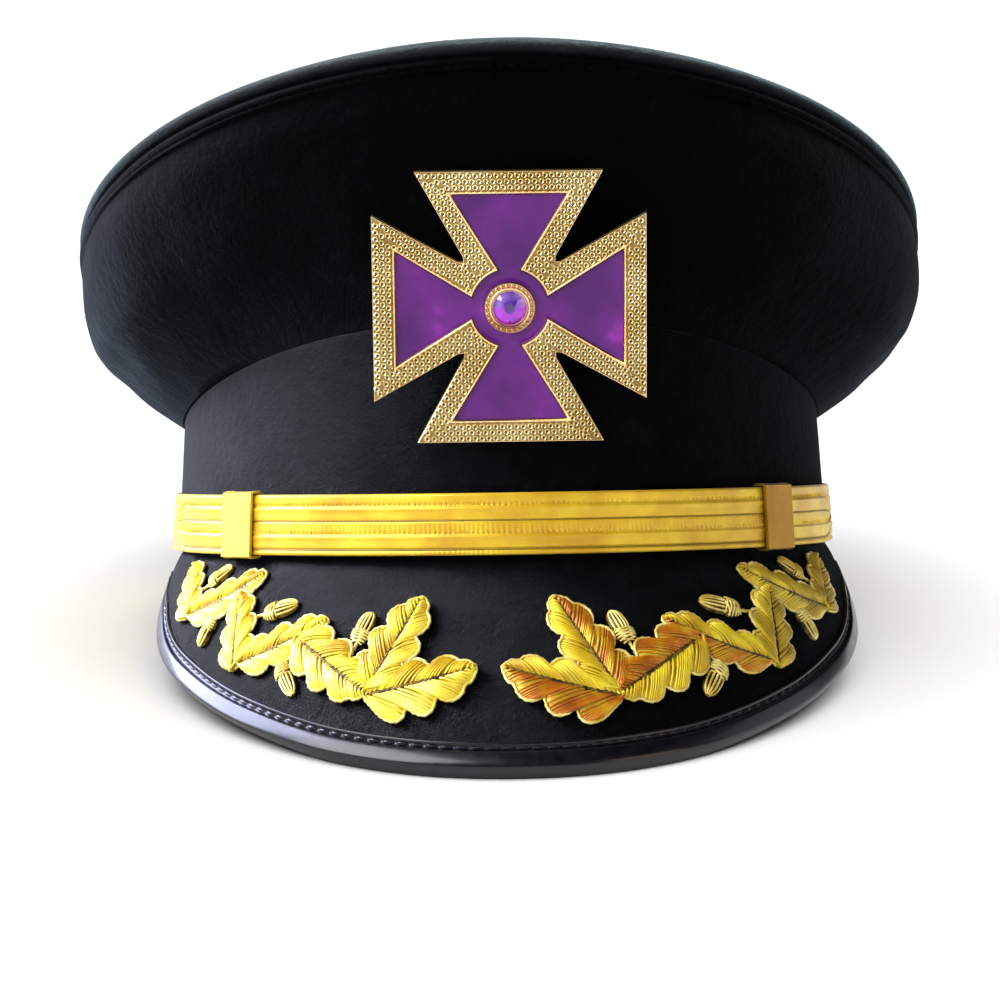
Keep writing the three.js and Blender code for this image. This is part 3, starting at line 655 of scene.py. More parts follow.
# Matt brass for the plate, darker than the pebbles: the matt finish is the metal's own, the darker tone is
# painted shade in the gaps between them.
GILT_MATT_PAINTED_SHADE = gilt_brass("gilt_brass_matted", ((0.35, "#947E48"), (0.65, "#B8A26C")), 0.4, 0.4)
# Painted shade: a dark brass for the bottoms of the pebbles' pits.
GILT_PIT_PAINTED_SHADE = gilt_brass("brass_pits_tarnished", ((0.35, "#6A5226"), (0.65, "#927A46")), 0.5, 0.4)
GILT_ROSE = gilt_brass("gilt_brass_worn_rosy", ((0.35, "#A4744C"), (0.65, "#D8B084")), 0.25, 0.6)
GILT_BRIGHT = gilt_brass("gilt_brass_polished", ((0.35, "#E8C088"), (0.65, "#F6DEB0")), 0.12, 2.0)
ENAMEL = vitreous_enamel()
# Painted reflection: three copies of the violet glass, paler for facets that look up, warmer for those that
# look down and darkest for the table.
GLASS_UP_PAINTED_REFLECTION = cut_glass("violet_glass_facets_above", ((0.35, "#6C3CBC"), (0.65, "#A880E0")))
GLASS_DOWN_PAINTED_REFLECTION = cut_glass("violet_glass_facets_below", ((0.35, "#7010A8"), (0.65, "#A824CC")))
GLASS_TABLE_PAINTED_REFLECTION = cut_glass("violet_glass_table", ((0.35, "#3A0C68"), (0.65, "#581890")))

# The band.

BAND_EDGE = 1.4
BAND_LUMPS = (Lump(0.16, 24, 3.0), Lump(0.05, 5, 7.0))
# The seam at the back: a groove with a ridge on each side.
BAND_SEAM = Sizes(depth=0.55, width=1.2, ridge=0.3, ridge_from=3, ridge_width=1.5)


def upright_wall(thickness, edge, rows):
    """The closed outline of a wall with rounded edges: a share of its height, a rise and an inset."""
    quarter = np.linspace(0, pi / 2, 4)
    face = np.linspace(0, 1, rows)[1:-1]
    share = np.concatenate([np.zeros(4), face, np.ones(4)])
    flat, steep = edge * (1 - np.cos(quarter)), edge * (1 - np.sin(quarter))
    rise = np.concatenate([flat, edge * (1 - 2 * face), -steep])
    inset = np.concatenate([steep, 0 * face, flat])
    both = [np.concatenate([part, part[::-1]]) for part in (share, rise)]
    return *both, np.concatenate([inset, thickness - inset[::-1]])


def make_band():
    angles = np.linspace(-180, 180, STATIONS.band, endpoint=False)[:, None]
    share, rise, inset = upright_wall(BAND.wall, BAND_EDGE, 26)
    wall = band_point(angles, share * band_top(angles) + rise, -inset)
    face = inset < BAND.wall / 2
    from_seam = (180 - np.abs(angles)) * radians(1) * BAND.half_width
    groove = BAND_SEAM.depth * np.exp(-((from_seam / BAND_SEAM.width) ** 2))
    ridge = BAND_SEAM.ridge * np.exp(-(((from_seam - BAND_SEAM.ridge_from) / BAND_SEAM.ridge_width) ** 2))
    relief = np.where(face, lumpiness(wall, BAND_LUMPS) - (groove - ridge), 0)
    wall = wall + unit(wall * [1, 1, 0]) * relief[..., None]
    piece("band_cloth", [(*swept(wall, ring=True), WOOL_PAINTED_LIGHTER)], "cloth", "band")


# The crown.

# The welt below the rim seam, with its row of stitches in a shallow groove.
WELT = Sizes(width=3.4, rise=1.0, row=2.5, row_depth=0.45, stitch=1.9, pitch=2.6, thread=0.16)
CROWN_FOLDS = (Lump(1.5, 46, 11.0), Lump(0.5, 19, 5.0))
CROWN_PULLS = Lump(0.5, 13, 21.0)
CROWN_SAG = (Lump(0.6, 55, 31.0), Lump(0.12, 12, 2.0))
# The seam allowance, which hangs inside the wall so that no light shows through the seam.
HEM = Sizes(inset=2.4, depth=1.5, thick=0.8)


def wall_line(angles, rises):
    """The outer face of the crown's side wall, from its root on the band to the seam."""
    root = band_point(angles, band_top(angles) + SEAM_GAP, -ROOT_STEP)
    seam = rim_point(1, angles, top_height(1, angles) - shoulder(angles))
    ahead_share = frontness(angles)
    side, front = (curve_through(CROWN_WALL["rise"], CROWN_WALL[name], rises) for name in ("side", "front"))
    out = lerp(side, front, ahead_share)
    line = xyz(
        lerp(root[..., 0], seam[..., 0], out),
        lerp(root[..., 1], seam[..., 1], out),
        lerp(root[..., 2], seam[..., 2], rises),
    )
    sag = smoothstep(rises, 0, 0.05) * (1 - smoothstep(rises, 0.08, 0.38))
    line[..., 2] -= DROOP * (1 - ahead_share) * sag
    outward = unit((seam - root) * [1, 1, 0])
    ahead = unit(np.gradient(line, axis=1))
    ahead[:, [0, -1]] = (0, 0, 1)
    run = np.sum(ahead * outward, axis=-1)[..., None]
    normal = outward * ahead[..., 2:] - xyz(0, 0, 1) * run
    return line, normal


def below_seam(line):
    """How far each point of the wall lies under the seam, along the cloth."""
    steps = np.linalg.norm(np.diff(line, axis=1), axis=-1)
    upward = np.cumsum(steps[:, ::-1], axis=1)[:, ::-1]
    return np.concatenate([upward, np.zeros((len(line), 1))], axis=1)


def make_crown_side():
    angles = np.linspace(-180, 180, STATIONS.crown_side, endpoint=False)[:, None]
    rises = np.concatenate([np.linspace(0, 0.86, 34), np.linspace(0.86, 1, 26)[1:]])[None]
    line, normal = wall_line(angles, rises)
    under = below_seam(line)
    slack = smoothstep(rises, 0.02, 0.3) * (1 - smoothstep(rises, 0.7, 1.0))
    # Upright pulls, four times as tall as they are wide, rise from the band to half the height.
    upright = unevenness(line * [1, 1, 0.25], CROWN_PULLS.size, CROWN_PULLS.seed)
    pulls = np.sin(pi * np.clip(rises / 0.5, 0, 1)) * upright
    folds = lumpiness(line, CROWN_FOLDS) + CROWN_PULLS.height * pulls
    foot = smoothstep(under, WELT.width - 0.6, WELT.width + 0.3)
    welt = WELT.rise * smoothstep(under, 0.1, 0.9) * (1 - foot)
    row = WELT.row_depth * np.exp(-(((under - WELT.row) / 0.5) ** 2))
    outside = line + normal * (slack * folds + welt - row)[..., None]
    inside = (line - normal * CLOTH)[:, ::2]
    sections = np.concatenate([outside, inside[:, ::-1]], axis=1)
    piece(
        "crown_side_cloth",
        [(*swept(sections, ring=True), WOOL), (*welt_stitches(), THREAD_COTTON)],
        "cloth",
        "crown_side",
    )


def welt_stitches():
    """The top stitching along the welt, one short thread after another."""
    dense = np.linspace(-180, 180, 721)
    length = run_length(rim_point(1, dense, 0))
    count = int(length[-1] / WELT.pitch)
    centre = np.arange(count)[:, None] / count * length[-1]
    at = centre + np.linspace(-0.5, 0.5, 5) * WELT.stitch
    angles = np.interp(at % length[-1], length, dense)
    rises = np.linspace(0.8, 1, 41)[None]
    sink = WELT.rise - WELT.row_depth - 0.2 * np.abs(np.linspace(-1, 1, 5)) ** 4
    paths, ups = [], []
    for one_stitch in angles:
        line, normal = wall_line(one_stitch[:, None], rises)
        under = below_seam(line)
        for k, depth in enumerate(sink):
            on_row, up = (
                np.array([np.interp(-WELT.row, -under[k], part[k, :, axis]) for axis in range(3)])
                for part in (line, normal)
            )
            paths.append(on_row + up * depth)
            ups.append(up)
    shape = (*angles.shape, 3)
    return strands(np.reshape(paths, shape), np.reshape(ups, shape), WELT.thread)


def make_crown_top():
    angles = np.linspace(-180, 180, STATIONS.crown_top, endpoint=False)[None]
    rows = np.arange(len(TOP_EDGE["radius"]))
    fine = np.concatenate([np.linspace(0, 3, 22), np.linspace(3, rows[-1], 36)[1:]])
    radius, drop = (curve_through(rows, TOP_EDGE[name], fine)[:, None] for name in ("radius", "drop"))
    wall = CLOTH / RIM.half_width
    edge = SHOULDER.drawn - GAP
    inner_radius = (radius * (1 - wall * smoothstep(radius, 0.6, 1)))[::-1]
    inner_drop = np.minimum(drop + CLOTH * (1.05 - smoothstep(drop, 0, 7) * 0.8), edge)[::-1]
    hem_inset = np.array([[HEM.inset], [HEM.inset], [HEM.inset + HEM.thick], [HEM.inset + HEM.thick]])
    hem_drop = edge + np.array([[0], [HEM.depth], [HEM.depth], [-HEM.thick]])
    above_hem = inner_drop[:, 0] < edge - HEM.thick
    # Every second row is enough inside.
    above_hem[1::2] = False
    radius = np.concatenate([radius, 1 - hem_inset / RIM.half_width, inner_radius[above_hem]])
    drop = np.concatenate([drop, hem_drop, inner_drop[above_hem]]) * shoulder(angles) / SHOULDER.drawn
    top = rim_point(radius, angles, top_height(np.minimum(radius / (1 - wall), 1), angles) - drop)
    outer = np.arange(len(radius)) < len(fine)
    sag = lumpiness(top, CROWN_SAG) * (1 - smoothstep(radius, 0.94, 1.0))
    top[..., 2] += np.where(outer[:, None], sag, 0)
    piece("crown_top_cloth", [(*swept(top), WOOL)], "cloth", "crown_top")


# The peak and its binding.

PEAK_LUMPS = (Lump(0.12, 16, 13.0),)


def make_peak():
    angles = np.linspace(-PEAK.end, PEAK.end, STATIONS.peak)[:, None]
    tuck = [band_point(angles, PEAK.tuck, -inset) for inset in (1.0, BAND.wall - 0.2)]
    shares = np.linspace(0, 1, 30)[None]
    top = peak_point(angles, shares, 0)
    soft = lumpiness(top, PEAK_LUMPS) * np.sin(pi * shares)
    top = top + peak_frame(angles).normal * soft[..., None]
    bottom = peak_point(angles, shares[:, 2:], -PEAK.board)
    sections = np.concatenate([tuck[1], bottom, top[:, ::-1], tuck[0]], axis=1)
    piece("peak_cloth", [(*swept(sections), WOOL_PAINTED_LIGHTER)], "cloth", "peak")


# The binding's outline round the peak's edge: how far past the edge and how high over the face. It
# has a turned inner edge, a groove for the stitches and one broad roll.
BINDING_OUTLINE = {
    "past": (-1.0, -0.99, -0.95, -0.88, -0.80, -0.70, -0.62, -0.55, -0.42, -0.06, 0.40, 0.84, 1.02, 0.86,
             0.30, -1.0),
    "above": (0.2, 0.95, 1.30, 1.20, 0.72, 0.66, 0.90, 1.55, 1.82, 1.86, 1.40, 0.20, -1.2, -3.0, -3.7, -3.4),
}
# How far the roll stands out, and how it and the lip slim down towards the peak's ends.
BINDING_NOSE = Sizes(front=2.2, side=1.1, between=(12, 48), lower=0.15)
BINDING_TAPER = Sizes(between=(66, 79), by=0.6)


def binding_frame(angles):
    """Directions at the peak's edge, as the binding follows it."""
    line = peak_frame(angles)
    away = unit(line.edge - peak_point(angles, 0.56, 0))
    above = unit(np.cross(away, line.along))
    tangent = unit(edge_point(angles + 0.5) - edge_point(angles - 0.5))
    slant = 1 / np.linalg.norm(np.cross(away, tangent), axis=-1)
    length = np.linalg.norm(line.down, axis=-1)
    lip = np.minimum(BINDING.lip, length * 0.4 / slant)
    return line.edge, away, above, slant, lip


def binding_point(angles, past, high):
    """past runs from -1 at the lip's inner edge over 0 at the peak's edge to 1 at the nose."""
    edge, away, above, slant, lip = binding_frame(angles)
    slim = 1 - BINDING_TAPER.by * smoothstep(np.abs(angles), *BINDING_TAPER.between)
    sideways = smoothstep(np.abs(angles), *BINDING_NOSE.between)
    nose = lerp(BINDING_NOSE.front, BINDING_NOSE.side, sideways) * slim
    reach = np.where(past < 0, past * lip, past * nose) * slant
    high = np.where(high > 0, high * slim * (1 - BINDING_NOSE.lower * sideways), high)
    return edge + away * reach[..., None] + above * np.broadcast_to(high, reach.shape)[..., None]


def make_binding():
    angles = np.linspace(-PEAK.end, PEAK.end, STATIONS.binding)[:, None]
    rows = np.arange(len(BINDING_OUTLINE["past"]))
    fine = np.linspace(0, rows[-1], 66)
    past, above = (curve_through(rows, BINDING_OUTLINE[name], fine)[None] for name in ("past", "above"))
    outside = binding_point(angles, past, above)
    under_board = -PEAK.board - GAP
    inner_past = np.array([[-1.0, -0.5, 0.2, 0.2, -0.5]])
    inner_above = np.array([[under_board, under_board, under_board, GAP, GAP]])
    inside = binding_point(angles, inner_past, inner_above)
    sections = np.concatenate([outside, inside], axis=1)
    piece(
        "peak_binding_patent",
        [(*swept(sections), PATENT), (*binding_stitches(), THREAD_WAXED)],
        "patent",
        "peak_binding",
    )


# The stitches along the binding: past counts as in binding_point, and their ends dip.
STITCH = Sizes(pitch=3.6, length=2.7, thread=0.34, past=-0.75, end=74, high=0.95, dip=0.4)


def binding_stitches():
    """The row of stitches just inside the binding's raised lip."""
    dense = np.linspace(-STITCH.end, STITCH.end, 900)
    length = run_length(binding_point(dense, np.full(dense.shape, STITCH.past), 1.3))
    centre = np.arange(STITCH.pitch, length[-1] - STITCH.pitch, STITCH.pitch)
    at = centre[:, None] + np.linspace(-0.5, 0.5, 5) * STITCH.length
    angles = np.interp(at, length, dense)
    high = STITCH.high - STITCH.dip * np.abs(np.linspace(-1, 1, 5)) ** 4
    paths = binding_point(angles, np.full(angles.shape, STITCH.past), high)
    return strands(paths, binding_frame(angles)[2], STITCH.thread)


# The embroidery.


def spray_shift(angle, side):
    """How far a spray is set off to the left, in degrees: most at its inner end."""
    ends = SPRAY_SHIFT.left if side < 0 else SPRAY_SHIFT.right
    return lerp(*ends, smoothstep(angle, *SPRAY_SHIFT.between))


def sprig_place(sprig, side):
    """How a leaf or acorn lies on the peak: its own coordinates as points, its normal and length."""
    angle, share = (sprig.angle + sprig.tip_angle) / 2, (sprig.share + sprig.tip_share) / 2
    middle = peak_point(angle, share, 0)
    per_angle = peak_point(angle + 1, share, 0) - middle
    per_share = (peak_point(angle, share + 0.02, 0) - middle) * 50
    reach = peak_point(sprig.tip_angle, sprig.tip_share, 0) - peak_point(sprig.angle, sprig.share, 0)
    normal = peak_frame(angle).normal
    across = unit(np.cross(normal, reach))
    turn, slide = np.linalg.lstsq(np.stack([per_angle, per_share], axis=-1), across, rcond=None)[0]
    upward = 1 if slide < 0 else -1

    def at(along, out, lift):
        along, out, lift = np.broadcast_arrays(along, out, lift)
        turned = lerp(sprig.angle, sprig.tip_angle, along) + out * turn * upward
        points = peak_point(
            turned - side * spray_shift(turned, side),
            lerp(sprig.share, sprig.tip_share, along) + out * slide * upward,
            lift + sprig.layer,
        )
        return points * [side, 1, 1]

    return Sizes(at=at, normal=normal * [side, 1, 1], length=np.linalg.norm(reach))


def padding(across):
    """The height of the stitched half of a leaf, from its middle vein to its edge."""
    swell = np.sin(pi * np.asarray(across, float) ** 0.85)
    return lerp(THREAD.middle, THREAD.edge, across) + (THREAD.crest - THREAD.middle) * swell


def leaf_half(place, width, way, draw):
    """The satin stitches of one half of a leaf, laid over its padding."""
    count = int(place.length / THREAD.pitch)
    end = (np.arange(count) + 0.5 + draw.normal(0, 0.08, count)) / count
    out = curve_through(LEAF["along"], LEAF["out"], end)
    start = np.clip(end - THREAD.lead * width * out / place.length, 0.005, 1)
    across = np.linspace(0, 1, 10)
    # No two threads lie quite alike, and each dips under the cord at the leaf's edge.
    lift = padding(across) + draw.normal(0, 0.035, (count, 1))
    lift[:, -1] = THREAD.under
    along = lerp(start[:, None], end[:, None], across)
    paths = place.at(along, way * width * out[:, None] * across, lift)
    return strands(paths, np.broadcast_to(place.normal, paths.shape), THREAD.radius)


def leaf_padding(place, above, below):
    """The solid filling under a leaf's threads, a little smaller than they are."""
    along = np.linspace(0.01, 0.99, 40)[:, None]
    out = 0.95 * curve_through(LEAF["along"], LEAF["out"], along)
    across = np.linspace(-1, 1, 13)
    width = np.where(across < 0, below, above)
    lift = padding(np.abs(across)) - 0.25
    top = place.at(along, out * width * across, lift)
    bottom = place.at(along, out * width[[-1, 0]] * np.array([1, -1]), 0.1)
    return swept(np.concatenate([top, bottom], axis=1))


# How far the cord round a leaf lies outside its threads.
LEAF_MARGIN = 0.15


def leaf(sprig, side, draw):
    """A leaf: padding, two halves of satin stitch, a cord round its edge and one along its vein."""
    place = sprig_place(sprig, side)
    # Painted light and shade: on the left the lower halves take a paler thread. On the right the half named
    # in deep takes the deepest thread and its other half the plain one, and leaves without one take the
    # darker thread throughout.
    if side < 0:
        upper_thread, lower_thread = BULLION, BULLION_PAINTED_LIGHT
    else:
        upper_thread = {"above": BULLION_PAINTED_DEEP_SHADE, "below": BULLION}.get(sprig.deep, BULLION_PAINTED_SHADE)
        lower_thread = {"below": BULLION_PAINTED_DEEP_SHADE, "above": BULLION}.get(sprig.deep, BULLION_PAINTED_SHADE)
    dense = np.linspace(0, 1, 260)
    out = curve_through(LEAF["along"], LEAF["out"], dense)
    upper = place.at(dense, sprig.above * out + LEAF_MARGIN, THREAD.edge)
    lower = place.at(dense[::-1], -sprig.below * out[::-1] - LEAF_MARGIN, THREAD.edge)
    outline = evenly_spaced(np.concatenate([upper, lower]), 0.4)
    vein = evenly_spaced(place.at(dense * 0.95, 0, THREAD.middle + 0.25), 0.35)
    return [
        # The padding, which shows between the threads, is laid in the darker thread of painted shade.
        (*leaf_padding(place, sprig.above, sprig.below), BULLION_PAINTED_SHADE),
        (*leaf_half(place, sprig.above, 1, draw), upper_thread),
        (*leaf_half(place, sprig.below, -1, draw), lower_thread),
        (*twisted_cord(outline, place.normal, *CORD.edge), BULLION_EDGE),
        (*twisted_cord(vein, place.normal, *CORD.vein), BULLION_VEIN),
    ]


def dome(place, along, half_width, base, height):
    """A rounded body lying along a sprig: rows of half widths."""
    q = np.linspace(0, pi, 9)
    out = half_width[:, None] * np.cos(q)
    lift = base + height * (half_width / half_width.max())[:, None] * np.sin(q)
    return swept(place.at(along[:, None], out, lift))


def acorn(sprig, side):
    """An acorn on its stalk: a dark cup and nut, with long threads over the nut and crossed ones
    over the cup."""
    place = sprig_place(sprig, side)
    half = sprig.above
    stalk = evenly_spaced(place.at(np.linspace(0, 0.4, 60), 0, 0.55), 0.35)
    cup_along = np.linspace(0.34, 0.64, 14)
    nut_along = np.linspace(0.5, 1, 20)
    cup = half * curve_through(ACORN["along"], ACORN["cup"], cup_along)
    nut = half * curve_through(ACORN["along"], ACORN["nut"], nut_along)
    parts = [
        (*twisted_cord(stalk, place.normal, *CORD.stalk), BULLION_EDGE),
        (*dome(place, cup_along, cup, 0.2, 1.7), BULLION_VEIN),
        (*dome(place, nut_along, nut, 0.2, 1.5), BULLION_VEIN),
    ]
    threads = np.linspace(-0.82, 0.82, 5)[:, None]
    along = np.linspace(0.58, 0.99, 10)[None]
    width = half * curve_through(ACORN["along"], ACORN["nut"], along)
    lift = 0.3 + 1.5 * width / half * np.sqrt(1 - threads**2) + 0.2
    paths = place.at(along, width * threads, lift)
    ups = np.broadcast_to(place.normal, paths.shape)
    parts.append((*strands(paths, ups, 0.27), BULLION_EDGE))
    for way in (-1, 1):
        sweep = np.linspace(-1, 1, 9)[None]
        start = np.linspace(0.36, 0.58, 5)[:, None]
        along = start + 0.03 * way * sweep
        width = half * curve_through(ACORN["along"], ACORN["cup"], np.clip(along, 0.36, 0.59))
        lift = 0.35 + 1.75 * width / half * np.sqrt(1 - 0.9 * sweep**2)
        paths = place.at(along, width * sweep, lift)
        ups = np.broadcast_to(place.normal, paths.shape)
        parts.append((*strands(paths, ups, 0.24), BULLION_EDGE))
    return parts


def make_spray(name, side, node):
    draw = np.random.default_rng(7)
    parts = []
    for sprig in SPRAY:
        parts += leaf(sprig, side, draw) if sprig.outline == "leaf" else acorn(sprig, side)
    piece(name, parts, "bullion", node, crease=80)


# The strap.

# The lace's section from its top edge to its bottom edge: two smooth ribs, each with a bright ridge
# above and a thin groove below, between a stitched middle and stitched borders.
LACE_SECTION = {
    "across": (0, 0.02, 0.06, 0.14, 0.175, 0.21, 0.235, 0.26, 0.30, 0.40, 0.425, 0.44, 0.46, 0.50, 0.60,
               0.645, 0.67, 0.69, 0.72, 0.76, 0.865, 0.885, 0.905, 0.925, 0.96, 0.985, 1),
    "rise": (0.10, 0.46, 0.58, 0.54, 0.30, 0.52, 0.84, 0.84, 0.66, 0.64, 0.52, 0.18, 0.46, 0.54, 0.54,
             0.46, 0.58, 0.86, 0.84, 0.68, 0.62, 0.40, 0.16, 0.44, 0.58, 0.46, 0.10),
}
# The rows of cross stitches, as shares of the lace's width, and the fine cords along it.
LACE_STITCH = Sizes(rows=(0.165, 0.62, 0.955), pitch=1.25, depth=0.12, cord_pitch=0.62, cord_depth=0.02)
# The dark lines laid in the grooves between the ribs, which are painted shade, and the short ticks of thread
# over the stitched rows.
LACE_SHADE_LINES = Sizes(rows=(0.44, 0.905), radius=0.22)
LACE_TICKS = Sizes(rows=(0.165, 0.625), pitch=1.3, length=0.75, radius=0.11)


def strap_half_height(angles, end):
    """Half the lace's width, rounded off towards its end."""
    past = np.maximum(0, np.abs(angles) - (end - END_SPREAD)) / END_SPREAD
    return LACE.width / 2 * np.sqrt(np.maximum(0.05, 1 - past * past))


def strap_stations(end, offset, fine_from, step, coarse_step):
    """Angles along a strap, close together where it shows and wider where it is covered."""
    dense = np.linspace(-end, end, 2000)
    length = run_length(band_point(dense, LACE_MIDDLE, offset))
    gaps = np.where(np.abs(dense) >= fine_from, step, coarse_step)
    count = np.concatenate([[0], np.cumsum(np.diff(length) / gaps[1:])])
    angles = np.interp(np.linspace(0, count[-1], int(count[-1]) + 1), count, dense)
    return angles, np.interp(angles, dense, length)


def lace_strip(end, offset, fine_from, step):
    """A strip of lace lying along the band, with its ribs, borders and cross stitches."""
    angles, length = strap_stations(end, offset, fine_from, step, 1.2)
    angles, length = angles[:, None], length[:, None]
    across = np.linspace(0, 1, 77)[None]
    rise = curve_through(LACE_SECTION["across"], LACE_SECTION["rise"], across)
    middle = smoothstep(across, 0.46, 0.50) * (1 - smoothstep(across, 0.62, 0.66))
    rows = [np.exp(-(((across - place) / 0.03) ** 2)) for place in LACE_STITCH.rows]
    stray = 5 * unevenness(xyz(length, across * 4, 0), 6, 3.0)
    cross = np.cos(2 * pi * length / LACE_STITCH.pitch + stray)
    stitched = rows[0] + rows[1] + 0.5 * rows[2] + 0.4 * middle
    cords = np.cos(2 * pi * across * LACE.width / LACE_STITCH.cord_pitch)
    uneven = 0.05 * unevenness(xyz(length, across * LACE.width, 0), 5, offset)
    rise = rise + LACE_STITCH.depth * stitched * cross + LACE_STITCH.cord_depth * cords + uneven
    half = strap_half_height(angles, end)
    top = band_point(angles, LACE_MIDDLE + half * (1 - 2 * across), offset + rise)
    back = np.linspace(1, 0, 6)[None]
    bottom = band_point(angles, LACE_MIDDLE + half * (1 - 2 * back), offset)
    return swept(np.concatenate([top, bottom], axis=1))


def lace_ground(end, offset):
    """The dark lines of painted shade in the grooves and the ticks on the lace, each with its material."""
    angles = np.linspace(-end + 1.5, end - 1.5, 500)
    half = strap_half_height(angles, end)
    up = band_point(angles, 0, 1) - band_point(angles, 0, 0)
    lines = np.array([
        band_point(angles, LACE_MIDDLE + half * (1 - 2 * place), offset + 0.3) for place in LACE_SHADE_LINES.rows
    ])
    parts = [(*strands(lines, np.broadcast_to(up, lines.shape), LACE_SHADE_LINES.radius), LACE_GROOVE_PAINTED_SHADE)]
    draw = np.random.default_rng(3)
    dense = np.linspace(-end + 6, end - 6, 2000)
    length = run_length(band_point(dense, LACE_MIDDLE, offset))
    for place in LACE_TICKS.rows:
        at = np.arange(0, length[-1], LACE_TICKS.pitch)
        at = np.interp(at + draw.uniform(-0.25, 0.25, len(at)), length, dense)[:, None]
        reach = np.array([-1, -0.4, 0.4, 1]) * LACE_TICKS.length / 2 * draw.uniform(0.7, 1.1, (len(at), 1))
        height = LACE_MIDDLE + LACE.width / 2 * (1 - 2 * place) + reach
        turned = at + 0.12 * reach * draw.uniform(-1, 1, (len(at), 1))
        paths = band_point(turned, height, offset + np.array([0.38, 0.56, 0.56, 0.38]))
        ups = band_point(turned, height, 1) - band_point(turned, height, 0)
        # The ticks take the darker thread of painted shade.
        parts.append((*strands(paths, ups, LACE_TICKS.radius, 4), BULLION_PAINTED_SHADE))
    return parts


def make_straps():
    hidden = OVER_STRAP_END - END_SPREAD
    under = lace_strip(BUTTON_ANGLE + END_SPREAD, LAYER.under, hidden, 0.4)
    over = lace_strip(OVER_STRAP_END, LAYER.over, 0, 0.27)
    ground = lace_ground(OVER_STRAP_END, LAYER.over)
    piece("strap_under_lace", [(*under, LACE_GOLD)], "lace", "strap_under", crease=60)
    piece("strap_over_lace", [(*over, LACE_GOLD), *ground], "lace", "strap_over", crease=60)


def make_keeper(name, angle, node, lace):
    """A slide loop folded from smooth lace round both straps, with rolled edges."""
    low, high = LACE.foot - GAP, LACE.foot + LACE.width + GAP
    back, front = LAYER.keeper_back + KEEPER.back, LAYER.keeper_front
    turn = np.linspace(0, 2 * pi, 73)[:-1]
    # A square with rounded corners, run round by an angle: height and offset of the loop's inside.
    square = 1 / np.maximum(np.abs(np.cos(turn)), np.abs(np.sin(turn)))
    height = (low + high) / 2 + (high - low) / 2 * np.clip(np.cos(turn) * square, -1, 1)
    offset = (back + front) / 2 + (front - back) / 2 * np.clip(np.sin(turn) * square, -1, 1)
    path = np.stack([height, offset], axis=-1)
    ahead = np.roll(path, -1, 0) - np.roll(path, 1, 0)
    out = unit(np.stack([ahead[:, 1], -ahead[:, 0]], axis=-1))
    thick = KEEPER.thick + KEEPER.front_extra * np.maximum(0, out[:, 1])
    along = np.linspace(-1, 1, 26)[None]
    to_end = np.abs(along)
    roll = KEEPER.roll * smoothstep(to_end, 0.8, 0.93) * (1 - 0.6 * smoothstep(to_end, 0.96, 1.0))
    outer_thick = thick[:, None] + roll
    angles = angle + along * KEEPER.spread
    outer = band_point(
        angles, height[:, None] + out[:, :1] * outer_thick, offset[:, None] + out[:, 1:] * outer_thick
    )
    inner = band_point(angles[:, ::-1], height[:, None], offset[:, None])
    sections = np.concatenate([outer, inner], axis=1)
    piece(name, [(*swept(sections, ring=True), lace)], "lace", node)


# The side buttons.

# A button turned round its shank, from its hidden end to the middle of its face: radius and height.
BUTTON_PROFILE = (
    (0, -1.95), (1.6, -1.95), (1.6, -0.1), (6.2, 0), (7.1, 0.1), (7.45, 0.45), (7.5, 0.8), (7.35, 1.15),
    (7.0, 1.3), (6.65, 1.2), (6.5, 1.25), (6.2, 1.75), (5.6, 2.4), (4.6, 3.1), (3.4, 3.65), (2.0, 4.05),
    (0.9, 4.18), (0, 4.2),
)


def on_face(points, angle, height, offset):
    """Moves points from a frame on the band's face: x along the strap, y up and z out."""
    along = unit(band_point(angle + 1, height) - band_point(angle - 1, height))
    rise = band_point(angle, height + 1) - band_point(angle, height - 1)
    out = unit(np.cross(along, rise))
    up = np.cross(out, along)
    origin = band_point(angle, height, offset)
    return origin + points[:, :1] * along + points[:, 1:2] * up + points[:, 2:] * out


def make_button(name, angle, node):
    points, faces = revolved(BUTTON_PROFILE, 48)
    placed = on_face(points, angle, LACE_MIDDLE, LAYER.under + LACE.thick + GAP)
    piece(name, [(placed, faces, GILT)], "gilt", node)


# The badge.


def on_badge(points):
    """Moves points from the badge's own frame into the cap's."""
    tilt = radians(90 + BADGE_PLACE.lean)
    x, y, z = points[..., 0], points[..., 1], points[..., 2]
    back = y * cos(tilt) - z * sin(tilt) - BADGE_PLACE.ahead
    return xyz(x, back, y * sin(tilt) + z * cos(tilt) + BADGE_PLACE.height)


def fourfold(points):
    """Four copies of a run of points, each turned a quarter more."""
    turns = [Matrix.Rotation(-quarter * pi / 2, 2) for quarter in range(4)]
    return np.array([turn @ Vector(point) for turn in turns for point in points])


def cross_outline():
    notch, bend = BADGE.notch, BADGE.notch_round * 1.1
    return fourfold([
        (-BADGE.flare, BADGE.reach),
        (BADGE.flare, BADGE.reach),
        (notch + 0.2, notch + bend),
        (notch + 0.1, notch + 0.1),
        (notch + bend, notch + 0.2),
    ])


def field_outline():
    """The sunk field: a disc with four splayed arms."""
    first = asin(FIELD.neck / FIELD.disc)
    arc = [FIELD.disc * Vector((sin(turn), cos(turn))) for turn in np.linspace(first, pi / 2 - first, 12)]
    return fourfold([(-FIELD.flare, FIELD.reach), (FIELD.flare, FIELD.reach), *arc])


def grown(outline, by):
    """A clockwise outline with its sides moved out, or in where by is negative."""
    before = unit(outline - np.roll(outline, 1, 0))
    after = unit(np.roll(outline, -1, 0) - outline)
    first, second = (side[:, ::-1] * [-1, 1] for side in (before, after))
    mitre = (first + second) / (1 + np.sum(first * second, axis=-1, keepdims=True))
    return outline + mitre * by


def levels(outline, rows):
    """The loops of an outline at rows of growth and height."""
    return [xyz(*grown(outline, by).T, height) for by, height in rows]


